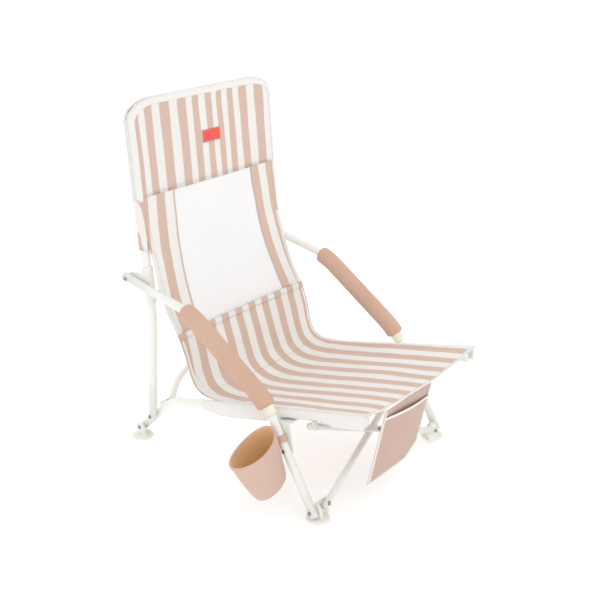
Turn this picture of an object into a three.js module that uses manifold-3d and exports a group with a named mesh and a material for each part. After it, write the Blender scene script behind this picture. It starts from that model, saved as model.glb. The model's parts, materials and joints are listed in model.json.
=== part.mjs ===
// A low folding camp chair: a painted steel tube frame that folds by two scissor crosses, with a sling of
// striped cloth, foam arm grips, a hanging cup holder and a pocket on the seat's front edge.
// Millimetres, +Z up. The chair faces -Y and the sitter's right is -X. Positions are from the floor point
// midway between the two sides.
// Side views are drawn as (y, z) points, and each piece of a side is made once for each side by a loop.
import * as THREE from 'three';
import { mergeVertices } from 'three/addons/utils/BufferGeometryUtils.js';
import Module from 'manifold-3d';

const wasm = await Module();
wasm.setup();

// ---- Driving dimensions ----
const SIDES = { right: -1, left: 1 };
const TUBE = 18; // frame tube, outside
const TUBE_WALL = 1.4;
const CROSS = 14; // cross member tube, outside
const CROSS_WALL = 1.2;
const GAP = 0.4; // between pieces that touch
const BORE_GAP = 0.5; // round a pin, and between a ring and the tube that it is on
const BEND_GAP = 0.4; // more, where a ring lies on a bent tube
const OPEN_GAP = 2.4; // beside a cross member's upper end, which no pin holds
const PIN_RADIUS = 2.4;
const PIN_BORE = PIN_RADIUS + BORE_GAP; // radius of the hole round a pin
const HEAD_RADIUS = 4.6;
const HEAD_HEIGHT = 1.8;
const END_LENGTH = 11; // of a tube past its last pin
const PAST = 40; // of a cutting shape past the piece that it cuts
const FLOOR_REACH = 1600; // across the shape that cuts off what is under the floor
const UPRIGHT_X = 205; // half the width between the uprights
const SLIDER_OUTSIDE = 24;
const RAIL_X = UPRIGHT_X - TUBE - 1;
const ARM_X = UPRIGHT_X + SLIDER_OUTSIDE / 2 + TUBE / 2 + GAP;

const CHAIR_TOP = 766; // top edge of the back cloth
const UPRIGHT_TOP = 726;
const UPRIGHT_LEAN = 0.08; // run back for each millimetre of rise
const UPRIGHT_KNEE = at(235.5, 305);
const RAIL_PIVOT = at(256, 68.4); // where the rail is riveted to the upright
const RAIL_FOOT = at(304, 22);
const RAIL_CORNER = at(209, 113.8);
const RAIL_SLOPE = 0.2456; // rise for each millimetre forward
const RAIL_FRONT_Y = -300;
const RAIL_BEND = 110;
const ARM_PIVOT = at(282, 396);
const ARM_BEND_BACK = at(104.8, 361.3);
const ARM_BEND_FRONT = at(-96.5, 224.4);
const ARM_BEND_RADII = [170, 150];
const LEG_FOOT = at(-212, 22);

const SLIDER_LENGTH = 78;
const SLIDER_BOTTOM = 346;
const EAR_THICKNESS = 8;
const GRIP_OUTSIDE = 38;
const GRIP_START = 167; // along the arm from its rear pivot
const GRIP_LENGTH = 262;
const COLLAR_OUTSIDE = 27;
const COLLAR_LENGTH = 20;

const FOOT_RADIUS = 25;
const FOOT_THICKNESS = 6;
const FRONT_FOOT_CENTRE = { x: ARM_X - 14.4, y: -215 };
const REAR_FOOT_CENTRE = { x: RAIL_X + 13, y: 300 };
const TAB = 4; // sheet thickness of the brackets
const FOOT_LUG = 8; // thickness of a foot's lug
const LUG_HALF = 9; // half the height of a slider's lug

const FRONT_CROSS_X = RAIL_X + 2;
const FRONT_CROSS_BOTTOM = { x: FRONT_CROSS_X, y: -225, z: 27 };
const FRONT_CROSS_TOP = { x: FRONT_CROSS_X, y: -172, z: 181.5 };
const REAR_CROSS_X = RAIL_X - 28;
const REAR_CROSS_BOTTOM = { x: REAR_CROSS_X, y: 236, z: 87.7 };
const REAR_CROSS_TOP = { x: REAR_CROSS_X, y: 245, z: 352 };
const REAR_CROSS_BOW = at(22, 45); // of the rear cross's first bend from its lower pin, across and up
const REAR_CROSS_BENDS = [70, 200];
const REAR_CROSS_STRAIGHT = 0.37; // share of its length at which its bow ends
const CROSS_END = 6; // of a cross member past its upper pin
const CROSS_SHIFT = CROSS / 2 + 0.5; // of each cross member from the plane between the two
const HUB_LENGTH = 20;
const HUB_TAB_HALF = 7;
const HUB_FRONT = CROSS_SHIFT + CROSS / 2 + OPEN_GAP - 0.9; // of the hub's ring ahead of its middle
const HUB_LIP = 0.6; // of the hub's open side, in from the rail's outermost line
const SADDLE_PIVOT_ALONG = 132; // up the leg from its foot pivot
const SADDLE_LENGTH = 32;
const SADDLE_FRONT_Y = -145;

const CLOTH = 2.4;
const BACK_HALF_WIDTH = UPRIGHT_X - 14;
const SEAT_HALF_WIDTH = RAIL_X + 13;
const HEAD_SEAM_Z = 566;
const HEM_Z = 286;
const WINDOW = { topHalf: BACK_HALF_WIDTH - 71, bottomHalf: BACK_HALF_WIDTH - 51, top: 558, bottom: 296 };
const SLING_LINE = [at(262, CHAIR_TOP), at(243, 560), at(222, 440), at(160, 290)];
const SLING_BENDS = [300, 300, 500, 45];
const CREASE_Y = 122;
const SLING_FRONT_Y = -318;
const SLING_ABOVE_RAIL = SLIDER_OUTSIDE / 2 + GAP; // of the cloth's underside over the rail's middle
const POCKET = { left: -138, right: 24, top: 240, bottom: 66, depth: 6, y: -318, back: 37, clip: 30 };
const LABEL = { x: 14, z: 663, width: 54, height: 26, thickness: 1.2 };
const CUP = { rimRadius: 60, baseRadius: 40, wall: 3, base: 4, squash: 0.62 };
const LEG_OUTSIDE = ARM_X + TUBE / 2;
const CUP_RIM = new THREE.Vector3(-LEG_OUTSIDE - 64.6, -124, 166);
const CUP_BASE = new THREE.Vector3(-LEG_OUTSIDE - 28.6, -140, 68);
const STRAP = { along: 150, width: 14, outside: 24 };

// ---- Materials ----
const MATERIALS = {
  frame: { color: 0xf4f4ef, roughness: 0.4, metalness: 0.1 },
  plastic: { color: 0xf3f2ea, roughness: 0.45, metalness: 0 },
  collar: { color: 0xf1ebd6, roughness: 0.5, metalness: 0 },
  foam: { color: 0xd6b29c, roughness: 0.9, metalness: 0 },
  rivet: { color: 0x8d8f92, roughness: 0.35, metalness: 0.9 },
  stripe: { color: 0xdabfb0, roughness: 0.9, metalness: 0 },
  mesh: { color: 0xf3f3f3, roughness: 0.9, metalness: 0 },
  pocket: { color: 0xc8ab9d, roughness: 0.9, metalness: 0 },
  label: { color: 0xf0605a, roughness: 0.8, metalness: 0 },
};

const chair = new THREE.Group();

// ---- Side view helpers ----
function at(y, z) {
  return new THREE.Vector2(y, z);
}

function place(x, point) {
  return new THREE.Vector3(x, point.x, point.y);
}

// The point at a distance from a towards b.
function toward(a, b, distance) {
  return a.clone().add(b.clone().sub(a).setLength(distance));
}

// Stations of a bent line: its ends, and points round each bend, with distances along and directions.
function bentStations(points, radii, stepsPerBend = 6) {
  const direction = (i) => points[i + 1].clone().sub(points[i]).normalize();
  const stations = [{ point: points[0].clone(), tangent: direction(0) }];
  for (let i = 1; i < points.length - 1; i += 1) {
    const into = direction(i - 1);
    const out = direction(i);
    const turn = Math.atan2(into.cross(out), into.dot(out));
    const reach = radii[i - 1] * Math.tan(Math.abs(turn) / 2);
    const start = points[i].clone().addScaledVector(into, -reach);
    const normal = at(-into.y, into.x).multiplyScalar(Math.sign(turn));
    const centre = start.clone().addScaledVector(normal, radii[i - 1]);
    for (let k = 0; k <= stepsPerBend; k += 1) {
      const angle = (turn * k) / stepsPerBend;
      stations.push({
        point: start.clone().rotateAround(centre, angle),
        tangent: into.clone().rotateAround(at(0, 0), angle),
      });
    }
  }
  const last = points.length - 1;
  stations.push({ point: points[last].clone(), tangent: direction(last - 1) });
  let along = 0;
  stations.forEach((station, i) => {
    along += i ? station.point.distanceTo(stations[i - 1].point) : 0;
    station.along = along;
  });
  return stations;
}

// The part of a bent line between two distances along it.
function sliceStations(stations, from, to) {
  const cut = (along) => {
    const i = Math.max(1, stations.findIndex((s) => s.along >= along));
    const [a, b] = [stations[i - 1], stations[i]];
    const share = (along - a.along) / (b.along - a.along);
    return {
      point: a.point.clone().lerp(b.point, share),
      tangent: a.tangent.clone().lerp(b.tangent, share).normalize(),
      along,
    };
  };
  const inside = stations.filter((s) => s.along > from + 1 && s.along < to - 1);
  return [cut(from), ...inside, cut(to)];
}

// A line through stations, one for each step of an extrusion.
class StationCurve extends THREE.Curve {
  constructor(points, tangents) {
    super();
    this.points = points;
    this.tangents = tangents;
  }

  between(list, t) {
    const place = THREE.MathUtils.clamp(t, 0, 1) * (list.length - 1);
    const i = Math.min(Math.floor(place), list.length - 2);
    return list[i].clone().lerp(list[i + 1], place - i);
  }

  getPoint(t) {
    return this.between(this.points, t);
  }

  getPointAt(u) {
    return this.getPoint(u);
  }

  getTangentAt(u) {
    return this.between(this.tangents, u).normalize();
  }
}

// ---- Solids ----
function solid(geometry) {
  const bare = geometry.index ? geometry.toNonIndexed() : geometry.clone();
  bare.deleteAttribute('normal');
  bare.deleteAttribute('uv');
  const merged = mergeVertices(bare, 1e-4);
  const mesh = new wasm.Mesh({
    numProp: 3,
    vertProperties: new Float32Array(merged.attributes.position.array),
    triVerts: new Uint32Array(merged.index.array),
  });
  return new wasm.Manifold(mesh);
}

function geometryOf(body) {
  const mesh = body.getMesh();
  const geometry = new THREE.BufferGeometry();
  geometry.setAttribute('position', new THREE.BufferAttribute(new Float32Array(mesh.vertProperties), 3));
  geometry.setIndex(new THREE.BufferAttribute(new Uint32Array(mesh.triVerts), 1));
  geometry.computeVertexNormals();
  return geometry;
}

function add(name, body, material) {
  const mesh = new THREE.Mesh(geometryOf(body), new THREE.MeshStandardMaterial(MATERIALS[material]));
  mesh.name = name;
  chair.add(mesh);
  return body;
}

function ringShape(outside, inside, sides, boreSides) {
  const circle = (diameter, turn, count) => {
    const points = [];
    for (let i = 0; i < count; i += 1) {
      const angle = turn * ((i + 0.5) / count) * Math.PI * 2;
      points.push(at(Math.cos(angle), Math.sin(angle)).multiplyScalar(diameter / 2));
    }
    return points;
  };
  const shape = new THREE.Shape(circle(outside, 1, sides));
  if (inside) shape.holes.push(new THREE.Path(circle(inside, -1, boreSides)));
  return shape;
}

// A tube of round section along stations in space.
function sweep(points, tangents, outside, inside, sides = 16, boreSides = sides / 2) {
  const options = {
    steps: points.length - 1,
    bevelEnabled: false,
    extrudePath: new StationCurve(points, tangents),
  };
  return solid(new THREE.ExtrudeGeometry(ringShape(outside, inside, sides, boreSides), options));
}

function sideTube(x, stations, outside, inside, sides, boreSides) {
  return sweep(
    stations.map((s) => place(x, s.point)),
    stations.map((s) => place(0, s.tangent)),
    outside,
    inside,
    sides,
    boreSides,
  );
}

function straightTube(a, b, outside, inside, sides) {
  const direction = b.clone().sub(a).normalize();
  return sweep([a, b], [direction, direction.clone()], outside, inside, sides);
}

// A plate with an outline in its own (u, v) plane, standing off its origin by `from` to `to` along w.
function plate(outline, origin, u, v, from, to) {
  const w = u.clone().cross(v).normalize();
  const options = { depth: to - from, bevelEnabled: false, curveSegments: 4 };
  const geometry = new THREE.ExtrudeGeometry(outline, options);
  geometry.translate(0, 0, from);
  geometry.applyMatrix4(new THREE.Matrix4().makeBasis(u, v, w));
  geometry.translate(origin.x, origin.y, origin.z);
  return solid(geometry);
}

// A plate that lies in a side view, between two distances from the chair's middle.
function sidePlate(outline, side, near, far) {
  const low = Math.min(side * near, side * far);
  const high = Math.max(side * near, side * far);
  const across = new THREE.Vector3(0, 1, 0);
  const up = new THREE.Vector3(0, 0, 1);
  return plate(outline, new THREE.Vector3(), across, up, low, high);
}

// The outline of a link: a round end of one radius at a, and of another at b.
function linkOutline(a, b, radiusA, radiusB = radiusA) {
  const angle = Math.atan2(b.y - a.y, b.x - a.x);
  const shape = new THREE.Shape();
  shape.absarc(a.x, a.y, radiusA, angle + Math.PI / 2, angle + 1.5 * Math.PI, false);
  shape.absarc(b.x, b.y, radiusB, angle - Math.PI / 2, angle + Math.PI / 2, false);
  return shape;
}

// A body with a pin's hole through it, half the reach to each side of a centre.
function drilled(body, centre, axis, reach = 60, radius = PIN_BORE) {
  const step = axis.clone().setLength(reach / 2);
  const from = centre.clone().sub(step);
  return body.subtract(straightTube(from, centre.clone().add(step), 2 * radius, 0, 12));
}

// What is left of a body above the floor.
function aboveFloor(body) {
  const floor = new THREE.Vector3(0, 0, 0);
  return body.subtract(straightTube(new THREE.Vector3(0, 0, -PAST), floor, FLOOR_REACH, 0, 24));
}

// A rivet whose shank runs from a to b, with a low domed head past each end. A screw has only the head at a.
function rivet(name, a, b, screw = false) {
  const end = a.distanceTo(b) / 2;
  const face = end + GAP;
  const head = [
    [0, face + HEAD_HEIGHT],
    [HEAD_RADIUS * 0.7, face + HEAD_HEIGHT * 0.8],
    [HEAD_RADIUS, face],
    [PIN_RADIUS, face],
  ];
  const blunt = [[PIN_RADIUS, -end], [0, -end]];
  const tail = screw ? blunt : head.map(([radius, height]) => [radius, -height]).reverse();
  const profile = [...head, ...tail].reverse().map(([radius, height]) => at(radius, height));
  const geometry = new THREE.LatheGeometry(profile, 10);
  const up = new THREE.Vector3(0, 1, 0);
  geometry.applyQuaternion(new THREE.Quaternion().setFromUnitVectors(up, a.clone().sub(b).normalize()));
  const middle = a.clone().add(b).multiplyScalar(0.5);
  geometry.translate(middle.x, middle.y, middle.z);
  add(name, solid(geometry), 'rivet');
}

// A moulded end plug: a stem in the tube's bore and a low dome on its end.
function plug(name, end, direction) {
  const stem = TUBE / 2 - TUBE_WALL - 2 * BORE_GAP;
  const profile = [
    [0, -10],
    [stem, -10],
    [stem, GAP],
    [TUBE / 2, GAP],
    [TUBE / 2, 2.5],
    [TUBE / 2 - 3, 5],
    [0, 6],
  ].map(([radius, height]) => at(radius, height));
  const geometry = new THREE.LatheGeometry(profile, 16);
  geometry.applyQuaternion(new THREE.Quaternion().setFromUnitVectors(new THREE.Vector3(0, 1, 0), direction));
  geometry.translate(end.x, end.y, end.z);
  add(name, solid(geometry), 'plastic');
}

// ---- Lines of the frame, in side view ----
function uprightY(z) {
  return UPRIGHT_KNEE.x + UPRIGHT_LEAN * (z - UPRIGHT_KNEE.y);
}

function railZ(y) {
  return RAIL_CORNER.y + RAIL_SLOPE * (RAIL_CORNER.x - y);
}

const uprightTop = at(uprightY(UPRIGHT_TOP), UPRIGHT_TOP);
const uprightLine = bentStations(
  [toward(RAIL_PIVOT, UPRIGHT_KNEE, -END_LENGTH), UPRIGHT_KNEE, uprightTop],
  [420],
  3,
);
const railFront = at(RAIL_FRONT_Y, railZ(RAIL_FRONT_Y));
const railEnd = toward(RAIL_FOOT, RAIL_PIVOT, -END_LENGTH);
const railLine = bentStations([railEnd, RAIL_CORNER, railFront], [RAIL_BEND], 4);
const armLine = bentStations(
  [
    toward(ARM_PIVOT, ARM_BEND_BACK, -END_LENGTH),
    ARM_BEND_BACK,
    ARM_BEND_FRONT,
    toward(LEG_FOOT, ARM_BEND_FRONT, -END_LENGTH - 1),
  ],
  ARM_BEND_RADII,
  6,
);
const leanDirection = at(UPRIGHT_LEAN, 1).normalize();
const railDirection = at(-1, RAIL_SLOPE).normalize();
const legDirection = ARM_BEND_FRONT.clone().sub(LEG_FOOT).normalize();
const X = new THREE.Vector3(1, 0, 0);

const saddlePivot = LEG_FOOT.clone().addScaledVector(legDirection, SADDLE_PIVOT_ALONG);

// The plane of a cross: u across the chair, v up the plane, and w out of it, towards the front.
function crossPlane(bottom, top) {
  const v = new THREE.Vector3(0, top.y - bottom.y, top.z - bottom.z);
  const rise = v.length();
  v.normalize();
  const origin = new THREE.Vector3(0, bottom.y, bottom.z);
  const w = X.clone().cross(v).normalize();
  const inPlane = (across, up) => origin.clone().addScaledVector(X, across).addScaledVector(v, up);
  const point = (across, up, out) => inPlane(across, up).addScaledVector(w, out);
  return { origin, u: X.clone(), v, w, rise, point, x: bottom.x };
}

const frontPlane = crossPlane(FRONT_CROSS_BOTTOM, FRONT_CROSS_TOP);
const rearPlane = crossPlane(REAR_CROSS_BOTTOM, REAR_CROSS_TOP);

// Member a goes from the right side's lower pin to the left side's upper one, behind member b.
const SHIFT = { a: -CROSS_SHIFT, b: CROSS_SHIFT };
const LOWER_MEMBER = { right: 'a', left: 'b' };
const UPPER_MEMBER = { right: 'b', left: 'a' };
const CROSS_FACE = CROSS / 2 + BORE_GAP; // from a member's middle to a bracket that it is pinned to
const OPEN_FACE = CROSS / 2 + OPEN_GAP; // and to a lug that it only rests beside

// ---- Side frames ----
function makeUpright(name, side) {
  const tube = sideTube(side * UPRIGHT_X, uprightLine, TUBE, TUBE - 2 * TUBE_WALL);
  add(`upright_${name}`, drilled(tube, place(side * UPRIGHT_X, RAIL_PIVOT), X), 'frame');
  plug(`upright_plug_${name}`, place(side * UPRIGHT_X, uprightTop), place(0, leanDirection));
}

function makeRail(name, side) {
  let tube = sideTube(side * RAIL_X, railLine, TUBE, TUBE - 2 * TUBE_WALL);
  tube = drilled(tube, place(side * RAIL_X, RAIL_PIVOT), X, TUBE * 2);
  tube = drilled(tube, place(side * RAIL_X, RAIL_FOOT), X, TUBE * 2);
  tube = drilled(tube, new THREE.Vector3(side * RAIL_X, REAR_CROSS_BOTTOM.y, REAR_CROSS_BOTTOM.z), X);
  add(`seat_rail_${name}`, tube, 'frame');
  plug(`rail_plug_${name}`, place(side * RAIL_X, railFront), place(0, railDirection));
  const outer = side * (UPRIGHT_X + TUBE / 2);
  const inner = side * (RAIL_X - TUBE / 2);
  rivet(`rail_rivet_${name}`, place(outer, RAIL_PIVOT), place(inner, RAIL_PIVOT));
}

function makeArm(name, side) {
  let tube = sideTube(side * ARM_X, armLine, TUBE, TUBE - 2 * TUBE_WALL);
  tube = drilled(tube, place(side * ARM_X, ARM_PIVOT), X);
  tube = drilled(tube, place(side * ARM_X, LEG_FOOT), X);
  tube = drilled(tube, place(side * ARM_X, saddlePivot), X);
  add(`arm_leg_${name}`, tube, 'frame');
  const bore = TUBE + 2 * (BORE_GAP + BEND_GAP);
  const start = GRIP_START + END_LENGTH;
  const end = start + GRIP_LENGTH;
  const grip = sliceStations(armLine, start, end);
  add(`arm_grip_${name}`, sideTube(side * ARM_X, grip, GRIP_OUTSIDE, bore, 20, 12), 'foam');
  const collar = sliceStations(armLine, end + GAP, end + GAP + COLLAR_LENGTH);
  add(`grip_collar_${name}`, sideTube(side * ARM_X, collar, COLLAR_OUTSIDE, bore, 20, 12), 'collar');
}

// A tab in a cross's plane, reaching across between two distances, behind or in front of a member's end.
function crossTab(plane, side, up, from, to, halfHeight, low) {
  const tab = new THREE.Shape();
  tab.moveTo(side * from, up - halfHeight);
  tab.lineTo(side * from, up + halfHeight);
  tab.lineTo(side * to, up + halfHeight);
  tab.lineTo(side * to, up - halfHeight);
  return plate(tab, plane.origin, plane.u, plane.v, low, low + TAB);
}

function makeSlider(name, side) {
  const bottom = at(uprightY(SLIDER_BOTTOM), SLIDER_BOTTOM);
  const top = bottom.clone().addScaledVector(leanDirection, SLIDER_LENGTH);
  const bore = TUBE + 2 * BORE_GAP;
  const inner = ARM_X - TUBE / 2 - GAP - EAR_THICKNESS;
  const x = side * UPRIGHT_X;
  const earRoot = bottom.clone().lerp(top, 0.6);
  const ear = sidePlate(linkOutline(earRoot, ARM_PIVOT, 16, 10), side, inner, inner + EAR_THICKNESS);
  const shift = SHIFT[UPPER_MEMBER[name]];
  const lugFace = shift - OPEN_FACE - TAB;
  const lugFrom = REAR_CROSS_TOP.x - LUG_HALF;
  const lug = crossTab(rearPlane, side, rearPlane.rise, lugFrom, UPRIGHT_X, LUG_HALF, lugFace);
  const lugMiddle = rearPlane.point(0, rearPlane.rise, lugFace + TAB / 2);
  const lugRoot = at(uprightY(lugMiddle.z), lugMiddle.z);
  const arm = linkOutline(lugRoot, at(lugMiddle.y, lugMiddle.z), LUG_HALF, TAB / 2);
  const lugArm = sidePlate(arm, side, UPRIGHT_X - LUG_HALF, UPRIGHT_X);
  const barrel = straightTube(place(x, bottom), place(x, top), SLIDER_OUTSIDE, 0, 16);
  const [under, over] = [toward(bottom, top, -PAST), toward(top, bottom, -PAST)];
  let body = barrel.add(ear).add(lug).add(lugArm);
  body = body.subtract(straightTube(place(x, under), place(x, over), bore, 0, 16));
  body = drilled(body, place(side * ARM_X, ARM_PIVOT), X);
  const lugHole = rearPlane.point(side * REAR_CROSS_TOP.x, rearPlane.rise, lugFace);
  body = drilled(body, lugHole, rearPlane.w, 20);
  add(`slider_${name}`, body, 'plastic');
  const outer = ARM_X + TUBE / 2;
  rivet(`arm_rivet_${name}`, place(side * outer, ARM_PIVOT), place(side * inner, ARM_PIVOT));
}

// A foot: a round pad, with a lug beside the tube that is pinned to it.
function makeFoot(side, centre, pivot, tubeX, lugSide) {
  const face = TUBE / 2 + GAP;
  const [from, to] = lugSide < 0
    ? [tubeX - face - FOOT_LUG, tubeX - face]
    : [tubeX + face, tubeX + face + FOOT_LUG];
  const profile = [
    [0, 0],
    [FOOT_RADIUS - 2, 0],
    [FOOT_RADIUS, 2],
    [FOOT_RADIUS - 1, 4],
    [FOOT_RADIUS - 4, FOOT_THICKNESS],
    [0, FOOT_THICKNESS],
  ].map(([radius, height]) => at(radius, height));
  const pad = new THREE.LatheGeometry(profile, 28);
  pad.rotateX(Math.PI / 2);
  pad.translate(side * centre.x, centre.y, 0);
  const lug = sidePlate(linkOutline(at(centre.y, 4), pivot, 12, 10), side, from, to);
  const body = aboveFloor(solid(pad).add(lug));
  return drilled(body, place(side * (from + to) / 2, pivot), X, 20);
}

function makeFrontFoot(name, side) {
  const shift = SHIFT[LOWER_MEMBER[name]];
  const face = shift - CROSS_FACE - TAB;
  const lugInner = ARM_X - TUBE / 2 - GAP - FOOT_LUG;
  const tab = crossTab(frontPlane, side, -9, FRONT_CROSS_BOTTOM.x - 10, lugInner + 2, 18, face);
  const foot = makeFoot(side, FRONT_FOOT_CENTRE, LEG_FOOT, ARM_X, -1);
  const onPin = (out) => frontPlane.point(side * FRONT_CROSS_BOTTOM.x, 0, out);
  let body = foot.add(aboveFloor(tab));
  body = drilled(body, onPin(face), frontPlane.w, 20);
  const lugHole = place(side * lugInner, LEG_FOOT);
  const headRoom = place(side * (lugInner - 8), LEG_FOOT);
  body = body.subtract(straightTube(headRoom, lugHole, 2 * HEAD_RADIUS + 2, 0, 12));
  body = drilled(body, lugHole, X, 12);
  add(`front_foot_${name}`, body, 'plastic');
  rivet(`leg_rivet_${name}`, place(side * (ARM_X + TUBE / 2), LEG_FOOT), lugHole);
  rivet(`front_cross_screw_${name}`, onPin(shift + CROSS / 2), onPin(face));
}

function makeRearFoot(name, side) {
  add(`rear_foot_${name}`, makeFoot(side, REAR_FOOT_CENTRE, RAIL_FOOT, RAIL_X, 1), 'plastic');
  const outer = RAIL_X + TUBE / 2 + GAP + FOOT_LUG;
  const inner = RAIL_X - TUBE / 2;
  rivet(`foot_rivet_${name}`, place(side * outer, RAIL_FOOT), place(side * inner, RAIL_FOOT));
}

// The hub that slides on the seat rail and holds a front cross member's upper end.
function makeHub(name, side) {
  const top = at(FRONT_CROSS_TOP.y, FRONT_CROSS_TOP.z);
  const onRail = at(top.x, railZ(top.x));
  const middle = onRail.addScaledVector(railDirection, railDirection.dot(top.clone().sub(onRail)));
  const x = side * RAIL_X;
  const end = (distance) => place(x, middle.clone().addScaledVector(railDirection, distance));
  const half = HUB_LENGTH / 2;
  const face = SHIFT[UPPER_MEMBER[name]] + OPEN_FACE;
  const drop = middle.distanceTo(top);
  const tab = new THREE.Shape();
  const left = side * FRONT_CROSS_TOP.x - HUB_TAB_HALF;
  const right = side * FRONT_CROSS_TOP.x + HUB_TAB_HALF;
  tab.moveTo(left, frontPlane.rise - HUB_TAB_HALF);
  tab.lineTo(right, frontPlane.rise - HUB_TAB_HALF);
  tab.lineTo(right, frontPlane.rise + drop);
  tab.lineTo(left, frontPlane.rise + drop);
  let body = straightTube(end(-half), end(HUB_FRONT), SLIDER_OUTSIDE, 0, 16);
  body = body.add(plate(tab, frontPlane.origin, frontPlane.u, frontPlane.v, face, face + TAB));
  body = body.subtract(straightTube(end(-PAST), end(PAST), TUBE + 2 * BORE_GAP, 0, 16));
  // The ring is open on its outer side, where the folded rail lies close beside the upright.
  const block = linkOutline(middle, top, PAST);
  body = body.subtract(sidePlate(block, side, RAIL_X + TUBE / 2 - HUB_LIP, UPRIGHT_X));
  add(`rail_hub_${name}`, body, 'plastic');
}

// The saddle: a sheet bracket riveted inside the leg, with a cradle that the seat rail rests in.
function makeSaddle(name, side) {
  const inside = ARM_X - TUBE / 2 - GAP;
  const railDepth = ((TUBE / 2 + GAP) / railDirection.y) * RAIL_SLOPE;
  const cradlePoint = (y) => at(y, railZ(y) - railDepth - TAB / 2);
  const front = cradlePoint(SADDLE_FRONT_Y);
  const back = cradlePoint(SADDLE_FRONT_Y + SADDLE_LENGTH);
  const web = new THREE.Shape();
  web.moveTo(saddlePivot.x - 9, saddlePivot.y - 8);
  web.lineTo(saddlePivot.x + 8, saddlePivot.y - 6);
  web.lineTo(back.x, back.y);
  web.lineTo(front.x, front.y);
  const cradle = sidePlate(linkOutline(front, back, TAB / 2), side, RAIL_X - TUBE / 2 + 3, inside);
  let body = sidePlate(web, side, inside - TAB, inside).add(cradle);
  body = drilled(body, place(side * inside, saddlePivot), X, 30);
  add(`leg_saddle_${name}`, body, 'frame');
  const outer = ARM_X + TUBE / 2;
  rivet(`saddle_rivet_${name}`, place(side * outer, saddlePivot), place(side * (inside - TAB), saddlePivot));
}

// ---- Scissor crosses ----
function makeCross(name, plane, member, outline, centre) {
  const side = member === 'a' ? 1 : -1;
  const shift = SHIFT[member];
  const direction = (t) => plane.point(side * t.x, t.y, 0).sub(plane.origin);
  let tube = sweep(
    outline.map((s) => plane.point(side * s.point.x, s.point.y, shift)),
    outline.map((s) => direction(s.tangent)),
    CROSS,
    CROSS - 2 * CROSS_WALL,
    14,
  );
  tube = drilled(tube, plane.point(-side * plane.x, 0, shift), plane.w, 18);
  tube = drilled(tube, plane.point(0, centre, shift), plane.w, 18);
  add(`${name}_${member}`, tube, 'frame');
}

function makeCrosses() {
  const ends = (plane) => [at(-plane.x, 0), at(plane.x, plane.rise)];
  const [frontLow, frontHigh] = ends(frontPlane);
  const frontEnds = [toward(frontLow, frontHigh, -END_LENGTH), toward(frontHigh, frontLow, -CROSS_END)];
  const front = bentStations(frontEnds, []);
  const [rearLow, rearHigh] = ends(rearPlane);
  const bow = rearLow.clone().add(REAR_CROSS_BOW);
  const onLine = rearLow.clone().lerp(rearHigh, REAR_CROSS_STRAIGHT);
  const rear = bentStations(
    [toward(rearLow, bow, -CROSS_END - 2), bow, onLine, toward(rearHigh, rearLow, -CROSS_END)],
    REAR_CROSS_BENDS,
    4,
  );
  Object.keys(SHIFT).forEach((member) => {
    makeCross('front_cross', frontPlane, member, front, frontPlane.rise / 2);
    makeCross('rear_cross', rearPlane, member, rear, rearPlane.rise / 2);
  });
  [['front', frontPlane], ['rear', rearPlane]].forEach(([name, plane]) => {
    const reach = CROSS_SHIFT + CROSS / 2;
    const onPin = (out) => plane.point(0, plane.rise / 2, out);
    rivet(`${name}_cross_rivet`, onPin(reach), onPin(-reach));
  });
}

// The bracket inside the seat rail that holds the foot of a rear cross member.
function makeCrossBracket(name, side) {
  const low = at(REAR_CROSS_BOTTOM.y, REAR_CROSS_BOTTOM.z);
  const shift = SHIFT[LOWER_MEMBER[name]];
  const pinned = LOWER_MEMBER[name] === 'a';
  const face = pinned ? shift - CROSS_FACE - TAB : shift + OPEN_FACE;
  const outer = RAIL_X - TUBE / 2 - GAP;
  const behind = at(rearPlane.point(0, 0, face + TAB / 2).y, rearPlane.point(0, 0, face + TAB / 2).z);
  let body = sidePlate(linkOutline(low, behind, 8), side, outer - TAB, outer);
  body = body.add(crossTab(rearPlane, side, 0, REAR_CROSS_BOTTOM.x - 8, outer - 1, 7, face));
  body = drilled(body, new THREE.Vector3(side * outer, low.x, low.y), X, 12);
  body = drilled(body, rearPlane.point(side * rearPlane.x, 0, face), rearPlane.w, 14);
  add(`cross_bracket_${name}`, body, 'frame');
  const inside = new THREE.Vector3(side * (outer - TAB), low.x, low.y);
  rivet(`bracket_screw_${name}`, inside, new THREE.Vector3(side * RAIL_X, low.x, low.y), true);
  const head = pinned ? shift + CROSS / 2 : shift - CROSS / 2;
  const end = pinned ? face : shift + CROSS / 2;
  const onPin = (out) => rearPlane.point(side * rearPlane.x, 0, out);
  rivet(`rear_cross_screw_${name}`, onPin(head), onPin(end), !pinned);
}

Object.entries(SIDES).forEach(([name, side]) => {
  makeUpright(name, side);
  makeRail(name, side);
  makeArm(name, side);
  makeSlider(name, side);
  makeFrontFoot(name, side);
  makeRearFoot(name, side);
  makeHub(name, side);
  makeSaddle(name, side);
  makeCrossBracket(name, side);
});
makeCrosses();

// ---- Soft goods: plain closed solids of the right size and place ----
const crease = at(CREASE_Y, railZ(CREASE_Y) + SLING_ABOVE_RAIL + CLOTH);
const slingFront = at(SLING_FRONT_Y, railZ(SLING_FRONT_Y) + SLING_ABOVE_RAIL + CLOTH);
const slingLine = bentStations([...SLING_LINE, crease, slingFront], SLING_BENDS, 5);

// How far along the sling its face first drops to a height.
function slingAlong(z) {
  const i = slingLine.findIndex((s) => s.point.y <= z);
  const [a, b] = [slingLine[i - 1], slingLine[i]];
  return THREE.MathUtils.mapLinear(z, a.point.y, b.point.y, a.along, b.along);
}

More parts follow.
